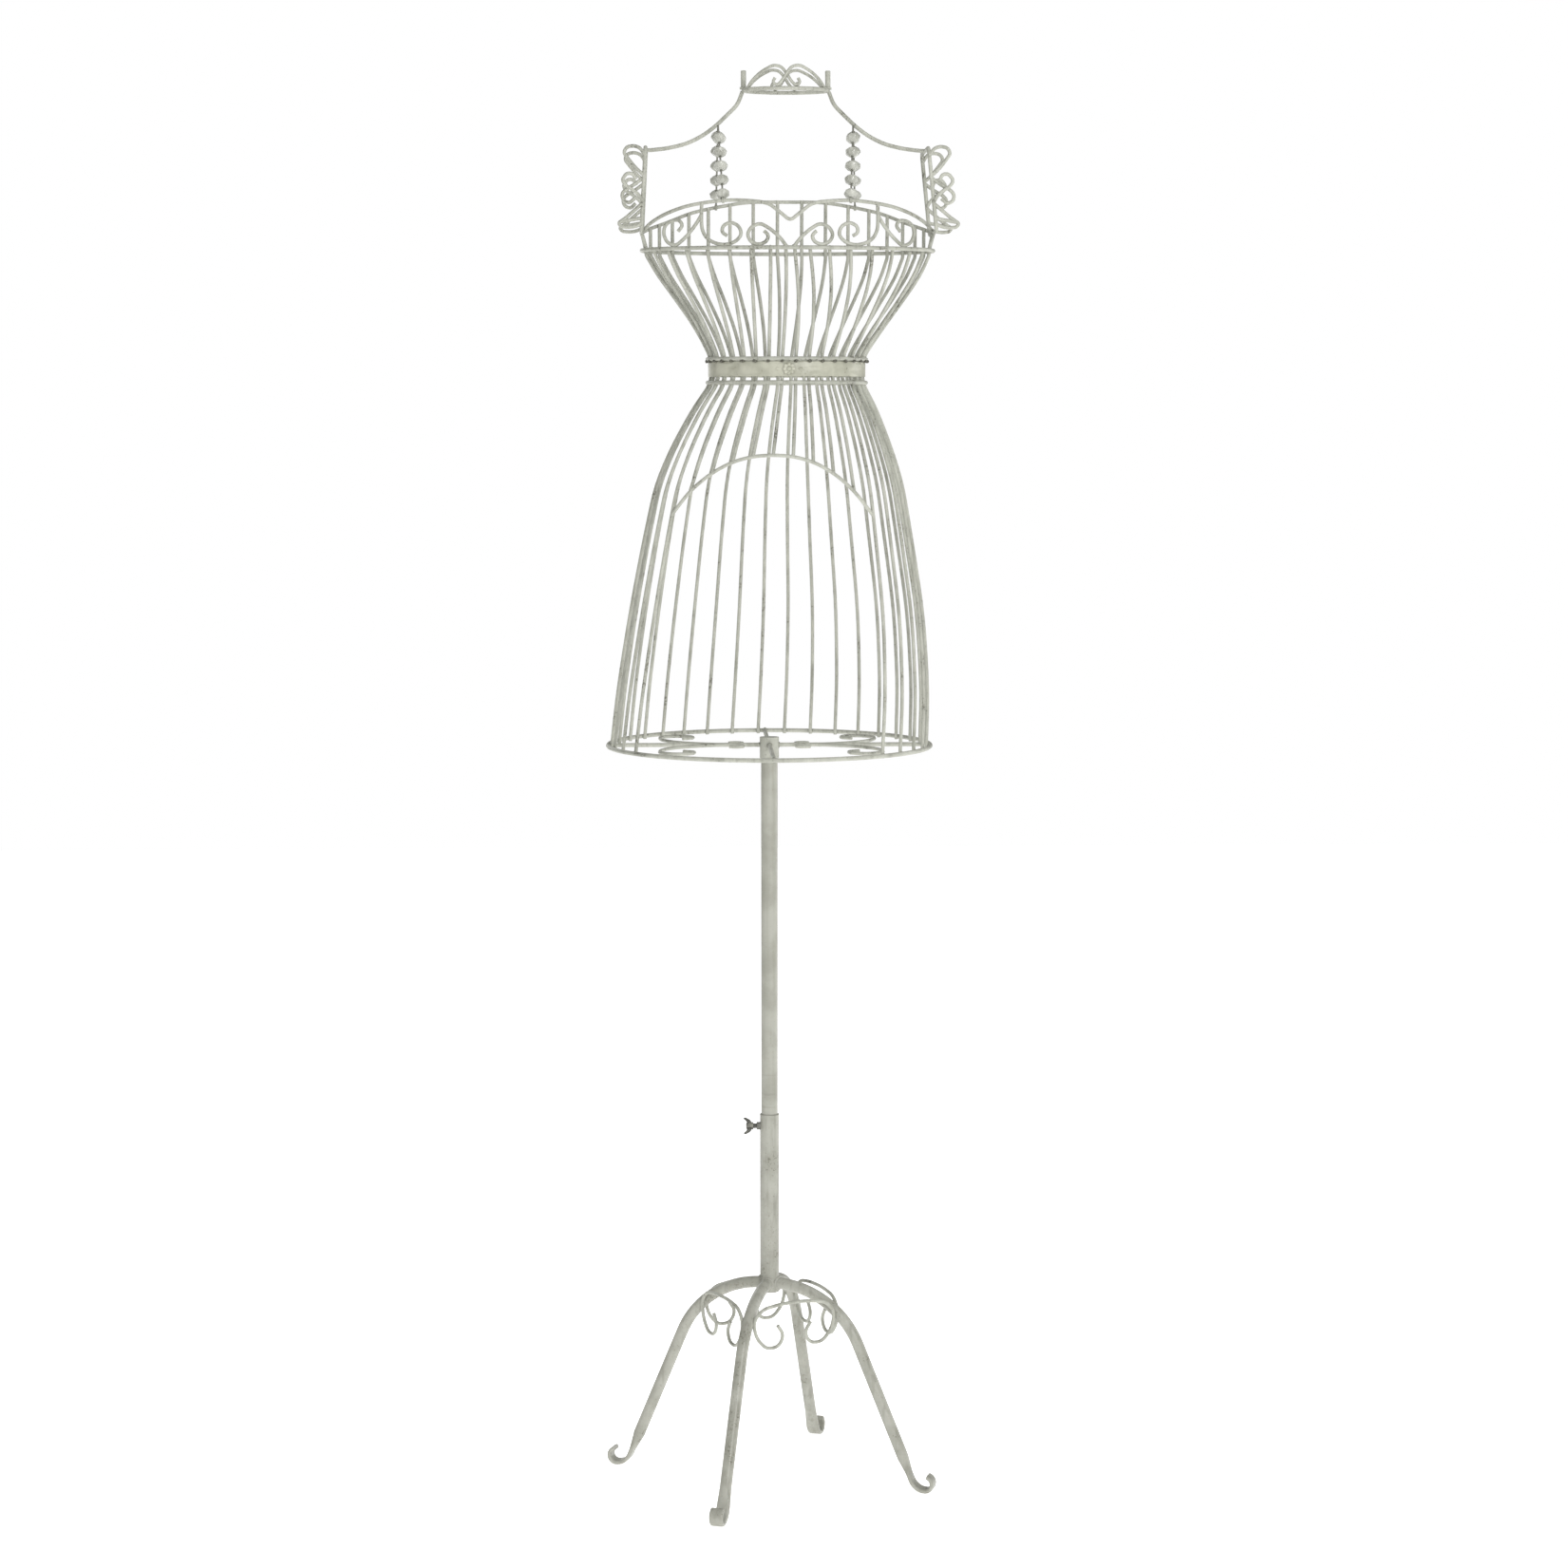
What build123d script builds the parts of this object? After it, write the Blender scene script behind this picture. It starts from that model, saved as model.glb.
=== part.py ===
from build123d import *
from math import asin, cos, degrees, pi, radians, sin, sqrt, tan
import os

# Wire dress form on a telescopic stand. Millimetres and degrees.
# The origin is on the floor, on the axis of the stand; the front of the form looks along -Y.

# ---- Wire and sheet stock ----
RIB_WIRE = 4.0
HEM_WIRE = 5.0
RING_WIRE = 4.5
SHOULDER_WIRE = 4.5
ORNAMENT_WIRE = 4.0
CROWN_WIRE = 3.5
STRAP_WIRE = 2.0
WELD_BITE = 0.3
ARC_SHARE = 0.45
STRAIGHT_TURN = 0.2

# ---- Heights of the form above the floor ----
HEM_HEIGHT = 865.0
WAIST_LOW_HEIGHT = 1278.5
WAIST_HIGH_HEIGHT = 1305.0
BUST_HEIGHT = 1427.0
NECKLINE_RISE = 52.5
ARMPIT_HEIGHT = 1447.0
SHOULDER_HEIGHT = 1539.0
NECK_HEIGHT = 1606.0

# ---- Half sizes of the form, to the centre lines of its ribs ----
HEM_RADIUS = 180.8
WAIST_HALF_WIDTH = 86.0
WAIST_HALF_DEPTH = 70.0
BUST_HALF_WIDTH = 161.1
BUST_HALF_DEPTH = 84.0
NECKLINE_TUCK = 6.0
SHOULDER_HALF_SPAN = 158.0
NECK_HALF_WIDTH = 47.6
NECK_HALF_DEPTH = 30.0

# The form stands a little to one side of the pole, more so from the waist up.
WAIST_LEAN = 20.0
BUST_LEAN = 21.0
NECK_LEAN = 18.7
# Extra lean half way up the bodice, and twist of the skirt at its hem.
BODICE_SWAY = 3.0
HEM_TWIST = -2.5

# Share of the way up against share of the way in (skirt) or out (bodice).
SKIRT_FLARE = [(0, 0), (0.145, 0.028), (0.355, 0.127), (0.56, 0.285), (0.72, 0.42), (0.825, 0.59), (0.93, 0.81),
               (1, 1)]
BODICE_SWELL = [(0, 0), (0.17, 0.155), (0.34, 0.335), (0.6, 0.64), (0.78, 0.85), (0.96, 1), (1, 1)]
# Share of the way up the skirt against share of the lean.
SKIRT_LEAN = [(0, 0), (0.01, 0), (0.22, 0.31), (0.36, 0.42), (0.5, 0.46), (0.7, 0.54), (0.8, 0.65), (0.9, 0.82),
              (1, 1)]

# ---- Ribs ----
RIB_COUNT = 36
RING_BENDS = 24
RIB_PITCH = 360 / RIB_COUNT
HEM_RIB_DROP = 3.0
RIB_OVERRUN = 2.0
FRONT_BUST_SPREAD = 82.0
FRONT_BUST_POWER = 1.35
BACK_BUST_TURN = 1.8

# ---- Arched opening in the front of the skirt ----
ARCH_LEFT_ANGLE = -55.0
ARCH_RIGHT_ANGLE = 45.0
ARCH_FOOT_HEIGHT = 1131.0
ARCH_TOP_HEIGHT = 1198.0
ARCH_POWER = 2.4
ARCH_STEP = 10.0

# ---- Waist belt ----
BELT_BOTTOM = 1285.0
BELT_WIDTH = 17.0
BELT_THICKNESS = 1.5
ROSETTE_DIAMETER = 15.0
ROSETTE_THICKNESS = 3.0
ROSETTE_PETALS = 8
ROSETTE_BOSS = 6.0
RIVET_OFFSET = 12.8
RIVET_DIAMETER = 4.0
RIVET_HEIGHT = 1.4
SEAT_DEPTH = 0.5

# ---- Armholes ----
ARMHOLE_HALF_DEPTH = 52.0
ARMHOLE_CORNER = 8.0
NECKLINE_END_OFFSET = 4.0

# ---- Neck ----
POST_DIAMETER = 6.0
POST_HEIGHT = 22.0
POST_TIP_FILLET = 1.0
POST_SEAT = 1.0
POST_COLLAR_DIAMETER = 8.4
POST_COLLAR_HEIGHT = 2.5
CROWN_HEIGHT = 24.5

# ---- Bead straps ----
STRAP_TOP_SHARE = 0.26
STRAP_FRONT_SHARES = {"left": 0.45, "right": 0.41}
STRAP_BACK_SHARE = 0.485
BEAD_WIDTH = 16.0
BEAD_LENGTH = 12.0
BEAD_END_WIDTH = 5.0
BEAD_FACETS = 8
BEAD_BORE = 2.4
BEAD_PITCH = 21.0
# Bare strap wire above the first bead and below the last one.
FRONT_STRAP_MARGINS = (14.0, 1.5)
BACK_STRAP_MARGINS = (8.5, 9.0)

# ---- Pole and hub ----
POLE_DIAMETER = 19.0
POLE_WALL = 1.5
POLE_INSERTION = 134.0
PLUG_THICKNESS = 3.0
PLUG_DEPTH = 12.0
HUB_DIAMETER = 22.0
HUB_DROP = 15.0
HUB_RISE = 9.0
HUB_CAP = 2.0
SPOKE_WIRE = 5.0
FIT_GAP = 0.05
BODY_GAP = 0.3

# ---- Stand ----
LOWER_TUBE_BORE = POLE_DIAMETER + 0.6
LOWER_TUBE_DIAMETER = LOWER_TUBE_BORE + 2.4
LOWER_TUBE_BOTTOM = 224.0
LOWER_TUBE_TOP = 434.0
LEG_COUNT = 4
LEG_NAMES = ["right", "back", "left", "front"]
LEG_TURN = -19.4
LEG_DIAMETER = 13.5
LEG_WALL = 1.2
LEG_HUB_HEIGHT = 234.0
LEG_SLOPE = 67.0
LEG_BEND_RADIUS = 108.0
FOOT_REACH = 190.0
FOOT_BEND_RADIUS = 18.0
FOOT_CURL_RADIUS = 8.5
FOOT_CURL_ARC = 165.0
FOOT_WIDTH = 16.0
FOOT_THICKNESS = 4.8
FOOT_EDGE_RADIUS = 2.2
FOOT_FLATTEN_LENGTH = 28.0
STAND_SCROLL_DISTANCE = 62.0
STAND_SCROLL_RISE = 16.0

# ---- Clamp ----
CLAMP_HEIGHT = 420.0
SCREW_DIAMETER = 6.0
SCREW_LENGTH = 16.0
NUT_DIAMETER = 10.0
NUT_LENGTH = 4.0
WING_HUB_DIAMETER = 9.0
WING_HUB_LENGTH = 8.0
WING_SPAN = 24.0
WING_RISE = 12.0
WING_THICKNESS = 2.4
WING_ROUND = 4.0
WING_TURN = 50.0

UPWARD = (Align.CENTER, Align.CENTER, Align.MIN)
parts = {}


def share_of(stations, at):
    """Value at one share of the way through a list of (share, value) stations."""
    for (low, low_value), (high, high_value) in zip(stations, stations[1:]):
        if at <= high:
            return low_value + (high_value - low_value) * (at - low) / (high - low)
    return stations[-1][1]


def bent_path(points, closed=False, radius=None):
    """Straight runs joined by arcs, each of the given radius or as large as its two runs allow."""
    corners = [Vector(*p) for p in points]
    count = len(corners)
    bends = []
    for i in range(count) if closed else range(1, count - 1):
        back = (corners[i - 1] - corners[i])
        ahead = (corners[(i + 1) % count] - corners[i])
        turn = 180 - back.get_angle(ahead)
        if turn < STRAIGHT_TURN:
            continue
        reach = radius * tan(radians(turn / 2)) if radius else ARC_SHARE * min(back.length, ahead.length)
        inward = (back.normalized() + ahead.normalized()).normalized()
        middle = corners[i] + inward * reach * tan(radians(turn / 4))
        bends.append((corners[i] + back.normalized() * reach, middle, corners[i] + ahead.normalized() * reach))
    edges = []
    start = bends[-1][2] if closed else corners[0]
    for first, middle, last in bends:
        edges.append(Edge.make_line(start, first))
        edges.append(Edge.make_three_point_arc(first, middle, last))
        start = last
    if not closed:
        edges.append(Edge.make_line(start, corners[-1]))
    return Wire(edges)


def wire_along(points, diameter, closed=False, radius=None):
    """Round wire bent along a path of points."""
    path = bent_path(points, closed, radius)
    section = Plane(path @ 0, z_dir=path % 0) * Circle(diameter / 2)
    return sweep(section, path=path)


def lap(first_wire, second_wire):
    """Distance between the centre lines of two wires that are welded side by side."""
    return (first_wire + second_wire) / 2 - WELD_BITE


def torso_section(height):
    """Half width, half depth and sideways lean of the ribs' surface at a height."""
    if height <= WAIST_LOW_HEIGHT:
        up = (height - HEM_HEIGHT) / (WAIST_LOW_HEIGHT - HEM_HEIGHT)
        way_in = share_of(SKIRT_FLARE, up)
        half_width = HEM_RADIUS + (WAIST_HALF_WIDTH - HEM_RADIUS) * way_in
        half_depth = HEM_RADIUS + (WAIST_HALF_DEPTH - HEM_RADIUS) * way_in
        return half_width, half_depth, WAIST_LEAN * share_of(SKIRT_LEAN, max(0, up))
    up = min(1, max(0, (height - WAIST_HIGH_HEIGHT) / (BUST_HEIGHT - WAIST_HIGH_HEIGHT)))
    way_out = share_of(BODICE_SWELL, up)
    half_width = WAIST_HALF_WIDTH + (BUST_HALF_WIDTH - WAIST_HALF_WIDTH) * way_out
    half_depth = WAIST_HALF_DEPTH + (BUST_HALF_DEPTH - WAIST_HALF_DEPTH) * way_out
    half_depth -= NECKLINE_TUCK * max(0, height - BUST_HEIGHT) / NECKLINE_RISE
    return half_width, half_depth, WAIST_LEAN + (BUST_LEAN - WAIST_LEAN) * up + BODICE_SWAY * sin(pi * up)


def torso_point(height, angle, outset=0):
    """Point round the form; angle 0 is the front, and 90 is towards +X."""
    half_width, half_depth, lean = torso_section(height)
    skirt_left = (WAIST_LOW_HEIGHT - height) / (WAIST_LOW_HEIGHT - HEM_HEIGHT)
    angle += HEM_TWIST * min(1, max(0, skirt_left))
    across = (half_width + outset) * sin(radians(angle))
    forward = (half_depth + outset) * cos(radians(angle))
    return (lean + across, -forward, height)


def torso_ring(height, outset, diameter):
    """Closed oval wire round the outside of the ribs."""
    bulge = 1 / cos(pi / RING_BENDS)
    half_width, half_depth, lean = torso_section(height)
    points = []
    for i in range(RING_BENDS):
        angle = 2 * pi * i / RING_BENDS
        across = (half_width + outset) * bulge * sin(angle)
        points.append((lean + across, -(half_depth + outset) * bulge * cos(angle), height))
    return wire_along(points, diameter, closed=True)


def panel_point(across, up, side):
    """Point on the bust's outer surface: across and up are shares of the panel; side -1 is the front."""
    height = BUST_HEIGHT + NECKLINE_RISE * up
    half_width, half_depth, lean = torso_section(height)
    outset = lap(RIB_WIRE, RING_WIRE)
    forward = (half_depth + outset) * sqrt(max(0, 1 - across ** 2))
    return (lean + (half_width + outset) * across, side * forward, height)


def bust_angle(angle):
    """Angle at the bust ring of a rib that crosses the waist at the given angle."""
    if abs(angle) > 90:
        return angle + BACK_BUST_TURN * cos(radians(angle))
    share = abs(angle) / (90 - RIB_PITCH / 2)
    return FRONT_BUST_SPREAD * share ** FRONT_BUST_POWER * (1 if angle > 0 else -1)


def armhole_point(side, forward, up):
    """Point on an armhole's plane, which leans out a little towards the armpit."""
    top = NECK_LEAN + side * SHOULDER_HALF_SPAN
    bottom = BUST_LEAN + side * (BUST_HALF_WIDTH + lap(RIB_WIRE, RING_WIRE))
    height = ARMPIT_HEIGHT + (SHOULDER_HEIGHT - ARMPIT_HEIGHT) * up
    return (bottom + (top - bottom) * up, forward, height)


# ---- Necklines: share across against share of the rise above the bust ring ----
FRONT_NECKLINE = [(0.985, 0.43), (0.94, 0.56), (0.85, 0.724), (0.72, 0.87), (0.59, 0.947), (0.424, 1.0),
                  (0.31, 0.99), (0.2, 0.96), (0.137, 0.91), (0.05, 0.69)]
NECKLINE_DIP = 0.56
BACK_NECKLINE = [(0.985, 0.42), (0.94, 0.5), (0.82, 0.65), (0.66, 0.87), (0.5, 0.99), (0.27, 1.124)]


def rib_top(angle):
    """Height at which a back rib meets the back neckline."""
    across = abs(sin(radians(angle)))
    stations = sorted(BACK_NECKLINE)
    return BUST_HEIGHT + NECKLINE_RISE * share_of([(0, stations[0][1])] + stations, across)


def arch_height(angle):
    """Height of the arched opening's wire at an angle round the skirt."""
    middle = (ARCH_LEFT_ANGLE + ARCH_RIGHT_ANGLE) / 2
    reach = (ARCH_RIGHT_ANGLE - ARCH_LEFT_ANGLE) / 2
    drop = (ARCH_TOP_HEIGHT - ARCH_FOOT_HEIGHT) * abs((angle - middle) / reach) ** ARCH_POWER
    return ARCH_TOP_HEIGHT - drop


def rib(angle):
    """One rib from the hem, or from the arch, up over the waist to the bust or the back neckline."""
    front = abs(angle) < 90
    cut = ARCH_LEFT_ANGLE + 1 < angle < ARCH_RIGHT_ANGLE - 1
    start = arch_height(angle) if cut else HEM_HEIGHT - HEM_RIB_DROP
    points = [torso_point(start, angle)]
    if not cut:
        points.append(torso_point(HEM_HEIGHT + HEM_RIB_DROP, angle))
    for up, _ in SKIRT_FLARE[1:]:
        height = HEM_HEIGHT + (WAIST_LOW_HEIGHT - HEM_HEIGHT) * up
        if height > start + RIB_WIRE * 3:
            points.append(torso_point(height, angle))
    points.append(torso_point(WAIST_HIGH_HEIGHT, angle))
    at_bust = bust_angle(angle)
    for up, swell in BODICE_SWELL[1:]:
        height = WAIST_HIGH_HEIGHT + (BUST_HEIGHT - WAIST_HIGH_HEIGHT) * up
        points.append(torso_point(height, angle + (at_bust - angle) * swell))
    side = 1 if angle > 0 else -1
    if abs(abs(angle) - 90) < RIB_PITCH:
        bar = armhole_point(side, points[-1][1], 0)
        points.append(bar)
    elif front:
        last = Vector(*points[-1])
        points[-1] = tuple(last + (last - Vector(*points[-2])).normalized() * RIB_OVERRUN)
    else:
        points.append(torso_point(rib_top(at_bust) + RIB_OVERRUN, at_bust))
    return wire_along(points, RIB_WIRE)


def ribs():
    """The ribs, in four groups of nine round the form."""
    groups = {"ribs_front": [], "ribs_right": [], "ribs_back": [], "ribs_left": []}
    for i in range(RIB_COUNT):
        angle = -180 + RIB_PITCH * (i + 0.5)
        if ARCH_LEFT_ANGLE + 1 < angle < ARCH_RIGHT_ANGLE - 1:
            group = "ribs_front"
        elif ARCH_RIGHT_ANGLE - 1 < angle < ARCH_RIGHT_ANGLE + 90 - 1:
            group = "ribs_right"
        elif ARCH_LEFT_ANGLE - 90 + 1 < angle < ARCH_LEFT_ANGLE + 1:
            group = "ribs_left"
        else:
            group = "ribs_back"
        groups[group].append(rib(angle))
    for name, wires in groups.items():
        parts[name] = wires


def skirt_rings():
    """Hem ring, arched wire of the skirt's opening, waist rings and bust ring."""
    hem = Torus(HEM_RADIUS + lap(RIB_WIRE, HEM_WIRE), HEM_WIRE / 2)
    parts["hem_ring"] = [Pos(0, 0, HEM_HEIGHT) * hem]
    steps = int((ARCH_RIGHT_ANGLE - ARCH_LEFT_ANGLE) / ARCH_STEP)
    angles = [ARCH_LEFT_ANGLE + ARCH_STEP * i for i in range(steps + 1)]
    arch = [torso_point(arch_height(angle), angle) for angle in angles]
    parts["skirt_arch"] = [wire_along(arch, RIB_WIRE)]
    outset = lap(RIB_WIRE, RING_WIRE)
    parts["waist_ring_lower"] = [torso_ring(WAIST_LOW_HEIGHT, outset, RING_WIRE)]
    parts["waist_ring_upper"] = [torso_ring(WAIST_HIGH_HEIGHT, outset, RING_WIRE)]
    parts["bust_ring"] = [torso_ring(BUST_HEIGHT, outset, RING_WIRE)]


def belt():
    """Flat belt band round the waist with its rosette and two rivets at the front."""
    inset = RIB_WIRE / 2 - WELD_BITE / 3
    inner = (WAIST_HALF_WIDTH + inset, WAIST_HALF_DEPTH + inset)
    outer = (inner[0] + BELT_THICKNESS, inner[1] + BELT_THICKNESS)
    band = extrude(Ellipse(*outer) - Ellipse(*inner), BELT_WIDTH)
    parts["waist_belt"] = [Pos(WAIST_LEAN, 0, BELT_BOTTOM) * band]
    middle = Pos(WAIST_LEAN, -outer[1] + SEAT_DEPTH, BELT_BOTTOM + BELT_WIDTH / 2) * Rot(90, 0, 0)
    petal_radius = ROSETTE_DIAMETER / 5
    petal_circle = ROSETTE_DIAMETER / 2 - petal_radius
    outline = Circle(petal_circle) + PolarLocations(petal_circle, ROSETTE_PETALS) * Circle(petal_radius)
    boss = Pos(0, 0, ROSETTE_THICKNESS) * Sphere(ROSETTE_BOSS / 2)
    rosette = extrude(outline, ROSETTE_THICKNESS) + boss
    parts["belt_rosette"] = [middle * rosette]
    rivets = []
    for side in (-1, 1):
        turn = asin(side * RIVET_OFFSET / outer[0])
        seat = Pos(WAIST_LEAN + outer[0] * sin(turn), -outer[1] * cos(turn) + SEAT_DEPTH, 0)
        facing = Rot(90, 0, 0) * Rot(0, degrees(turn) * outer[1] / outer[0], 0)
        rivet = Cylinder(RIVET_DIAMETER / 2, RIVET_HEIGHT + SEAT_DEPTH, align=UPWARD)
        rivets.append(Pos(0, 0, BELT_BOTTOM + BELT_WIDTH / 2) * seat * facing * rivet)
    parts["belt_rivets"] = rivets


def necklines():
    """Front neckline with its dip, and back neckline, each ending on the armholes' bottom bars."""
    def line(shape, centre, side):
        right = [panel_point(across, up, side) for across, up in shape]
        left = [panel_point(-across, up, side) for across, up in reversed(shape)]
        start = armhole_point(1, side * NECKLINE_END_OFFSET, 0)
        end = armhole_point(-1, side * NECKLINE_END_OFFSET, 0)
        return wire_along([start] + right + centre + left + [end], RING_WIRE - 0.5)
    parts["front_neckline"] = [line(FRONT_NECKLINE, [panel_point(0, NECKLINE_DIP, -1)], -1)]
    parts["back_neckline"] = [line(BACK_NECKLINE, [], 1)]


# ---- Bust scrolls: shares across and up the front panel ----
CENTRE_SCROLL = [(0.02, 0), (0.07, 0.21), (0.13, 0.38), (0.2, 0.51), (0.26, 0.44), (0.29, 0.28), (0.268, 0.12),
                 (0.212, 0.052), (0.16, 0.12), (0.144, 0.25), (0.176, 0.345)]
MIDDLE_SCROLL = [(0.594, 0.947), (0.596, 0.65), (0.594, 0.4), (0.564, 0.2), (0.505, 0.09), (0.436, 0.052),
                 (0.367, 0.12), (0.325, 0.27), (0.343, 0.45), (0.4, 0.54), (0.452, 0.46), (0.46, 0.32),
                 (0.424, 0.25)]
OUTER_SCROLL = [(0.596, 0.69), (0.636, 0.48), (0.697, 0.24), (0.77, 0.045), (0.828, 0.13), (0.852, 0.31),
                (0.843, 0.49), (0.8, 0.59), (0.745, 0.6), (0.72, 0.48), (0.752, 0.36)]


def bust_scrolls():
    """Three scrolls each side between the bust ring and the front neckline."""
    for side, name in ((-1, "left"), (1, "right")):
        wires = []
        for shape in (CENTRE_SCROLL, MIDDLE_SCROLL, OUTER_SCROLL):
            points = [panel_point(side * across, up, -1) for across, up in shape]
            wires.append(wire_along(points, ORNAMENT_WIRE))
        parts["bust_scrolls_" + name] = wires


# ---- Shoulder ornaments: distance out from the armhole's upright, and share of its height ----
TOP_LOOP = [(0, 0.66), (9, 0.74), (18, 0.85), (24, 0.93), (21, 1.0), (13, 1.015), (6, 0.99), (0, 0.9)]
UPPER_SCROLL = [(0, 0.35), (5, 0.43), (14, 0.5), (19, 0.53), (24.5, 0.6), (19.5, 0.685), (12.5, 0.68),
                (9, 0.612)]
LOWER_SCROLL = [(0, 0.641), (6, 0.587), (14, 0.527), (19, 0.5), (24, 0.44), (22, 0.36), (15, 0.325), (9, 0.39)]
BOTTOM_LOOP = [(0, 0.33), (9, 0.24), (18, 0.15), (26, 0.09), (23, 0.045), (14, 0.035), (6, 0.05), (0, 0.085)]
BOTTOM_BAR = [(23, 0.105), (0, 0.15)]


def armholes():
    """Armhole loop on each side, with a row of scrolls out from its front and back uprights."""
    for side, name in ((-1, "left"), (1, "right")):
        depth = ARMHOLE_HALF_DEPTH
        corners = [(depth, 1), (-depth, 1), (-depth, 0), (depth, 0)]
        loop = [armhole_point(side, forward, up) for forward, up in corners]
        parts["armhole_" + name] = [wire_along(loop, RING_WIRE, closed=True, radius=ARMHOLE_CORNER)]
        for end, end_name in ((-1, "front"), (1, "back")):
            half_step = lap(ORNAMENT_WIRE, ORNAMENT_WIRE) / 2
            wires = []
            for shape, step in ((TOP_LOOP, 0), (UPPER_SCROLL, -half_step), (LOWER_SCROLL, half_step),
                                (BOTTOM_LOOP, 0), (BOTTOM_BAR, 0)):
                points = []
                for out, up in shape:
                    x, y, z = armhole_point(side, end * depth + step, up)
                    points.append((x + side * out, y, z))
                wires.append(wire_along(points, ORNAMENT_WIRE))
            parts["shoulder_scrolls_" + name + "_" + end_name] = wires


# ---- Shoulder wire: share of the way out against share of the way down ----
SHOULDER_SWEEP = [(0.01, 0.02), (0.06, 0.24), (0.16, 0.4), (0.28, 0.59), (0.42, 0.76), (0.58, 0.89),
                  (0.77, 0.965), (0.93, 0.995), (1, 1)]


def shoulder_point(side, out):
    """Point on a shoulder wire at a share of the way from the neck to the armhole."""
    down = share_of(SHOULDER_SWEEP, out)
    across = NECK_HALF_WIDTH + (SHOULDER_HALF_SPAN - NECK_HALF_WIDTH) * out
    return (NECK_LEAN + side * across, 0, NECK_HEIGHT + (SHOULDER_HEIGHT - NECK_HEIGHT) * down)


def shoulders():
    """Curved wire from the neck ring down to each armhole."""
    for side, name in ((-1, "left"), (1, "right")):
        points = [shoulder_point(side, out) for out, _ in SHOULDER_SWEEP]
        parts["shoulder_wire_" + name] = [wire_along(points, SHOULDER_WIRE)]


# ---- Crown scroll: share of the neck's half width against share of the crown's height ----
CROWN_ARM = [(0.93, 0), (0.8, 0.4), (0.59, 0.77), (0.31, 1.05), (0.12, 0.98), (0, 0.68), (-0.11, 0.33),
             (-0.22, 0.12), (-0.33, 0.26), (-0.27, 0.47)]


def neck():
    """Neck ring, its two posts, and the crossed scrolls that stand on its front and back."""
    bulge = 1 / cos(pi / RING_BENDS)
    ring = []
    for i in range(RING_BENDS):
        turn = 2 * pi * i / RING_BENDS
        across = NECK_HALF_WIDTH * bulge * sin(turn)
        ring.append((NECK_LEAN + across, -NECK_HALF_DEPTH * bulge * cos(turn), NECK_HEIGHT))
    parts["neck_ring"] = [wire_along(ring, RING_WIRE, closed=True)]
    for side, name in ((-1, "left"), (1, "right")):
        post = Cylinder(POST_DIAMETER / 2, POST_HEIGHT - POST_SEAT, align=UPWARD)
        post = fillet(post.edges().sort_by(Axis.Z)[-1], POST_TIP_FILLET)
        post += Cylinder(POST_COLLAR_DIAMETER / 2, POST_COLLAR_HEIGHT, align=UPWARD)
        seat = Pos(NECK_LEAN + side * NECK_HALF_WIDTH, 0, NECK_HEIGHT + POST_SEAT)
        parts["neck_post_" + name] = [seat * post]
    half_step = lap(CROWN_WIRE, CROWN_WIRE) / 2
    for end, end_name in ((-1, "front"), (1, "back")):
        arms = []
        for side in (-1, 1):
            points = []
            for across, up in CROWN_ARM:
                forward = NECK_HALF_DEPTH * sqrt(1 - across ** 2) + side * half_step * (1 - abs(across))
                x = NECK_LEAN + side * NECK_HALF_WIDTH * across
                points.append((x, end * forward, NECK_HEIGHT + CROWN_HEIGHT * up))
            arms.append(wire_along(points, CROWN_WIRE))
        parts["crown_scrolls_" + end_name] = arms


def bead():
    """Faceted bead, wide in the middle, bored through along Z."""
    waist = RegularPolygon(BEAD_WIDTH / 2, BEAD_FACETS)
    tip = RegularPolygon(BEAD_END_WIDTH / 2, BEAD_FACETS)
    half = BEAD_LENGTH / 2
    body = loft([Pos(0, 0, -half) * tip, waist, Pos(0, 0, half) * tip], ruled=True)
    return body - Cylinder(BEAD_BORE / 2, BEAD_LENGTH * 2)


def straps():
    """Bead straps from each shoulder wire down to the front and the back neckline."""
    for side, name in ((-1, "left"), (1, "right")):
        top = Vector(*shoulder_point(side, STRAP_TOP_SHARE))
        front_share = STRAP_FRONT_SHARES[name]
        front_up = share_of(sorted(FRONT_NECKLINE), front_share)
        back_up = share_of(sorted(BACK_NECKLINE), STRAP_BACK_SHARE)
        ends = {"front": (panel_point(side * front_share, front_up, -1), FRONT_STRAP_MARGINS),
                "back": (panel_point(side * STRAP_BACK_SHARE, back_up, 1), BACK_STRAP_MARGINS)}
        for end_name, (end, margins) in ends.items():
            run = Vector(*end) - top
            path = Wire([Edge.make_line(top, Vector(*end))])
            section = Plane(top, z_dir=run) * Circle(STRAP_WIRE / 2)
            parts["strap_wire_" + name + "_" + end_name] = [sweep(section, path=path)]
            usable = run.length - SHOULDER_WIRE / 2 - RING_WIRE / 2 - sum(margins)
            count = round((usable - BEAD_LENGTH) / BEAD_PITCH) + 1
            pitch = (usable - BEAD_LENGTH) / (count - 1)
            first = SHOULDER_WIRE / 2 + margins[0] + BEAD_LENGTH / 2
            beads = []
            for i in range(count):
                at = top + run.normalized() * (first + pitch * i)
                beads.append(Plane(at, z_dir=run) * bead())
            parts["strap_beads_" + name + "_" + end_name] = beads


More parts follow.
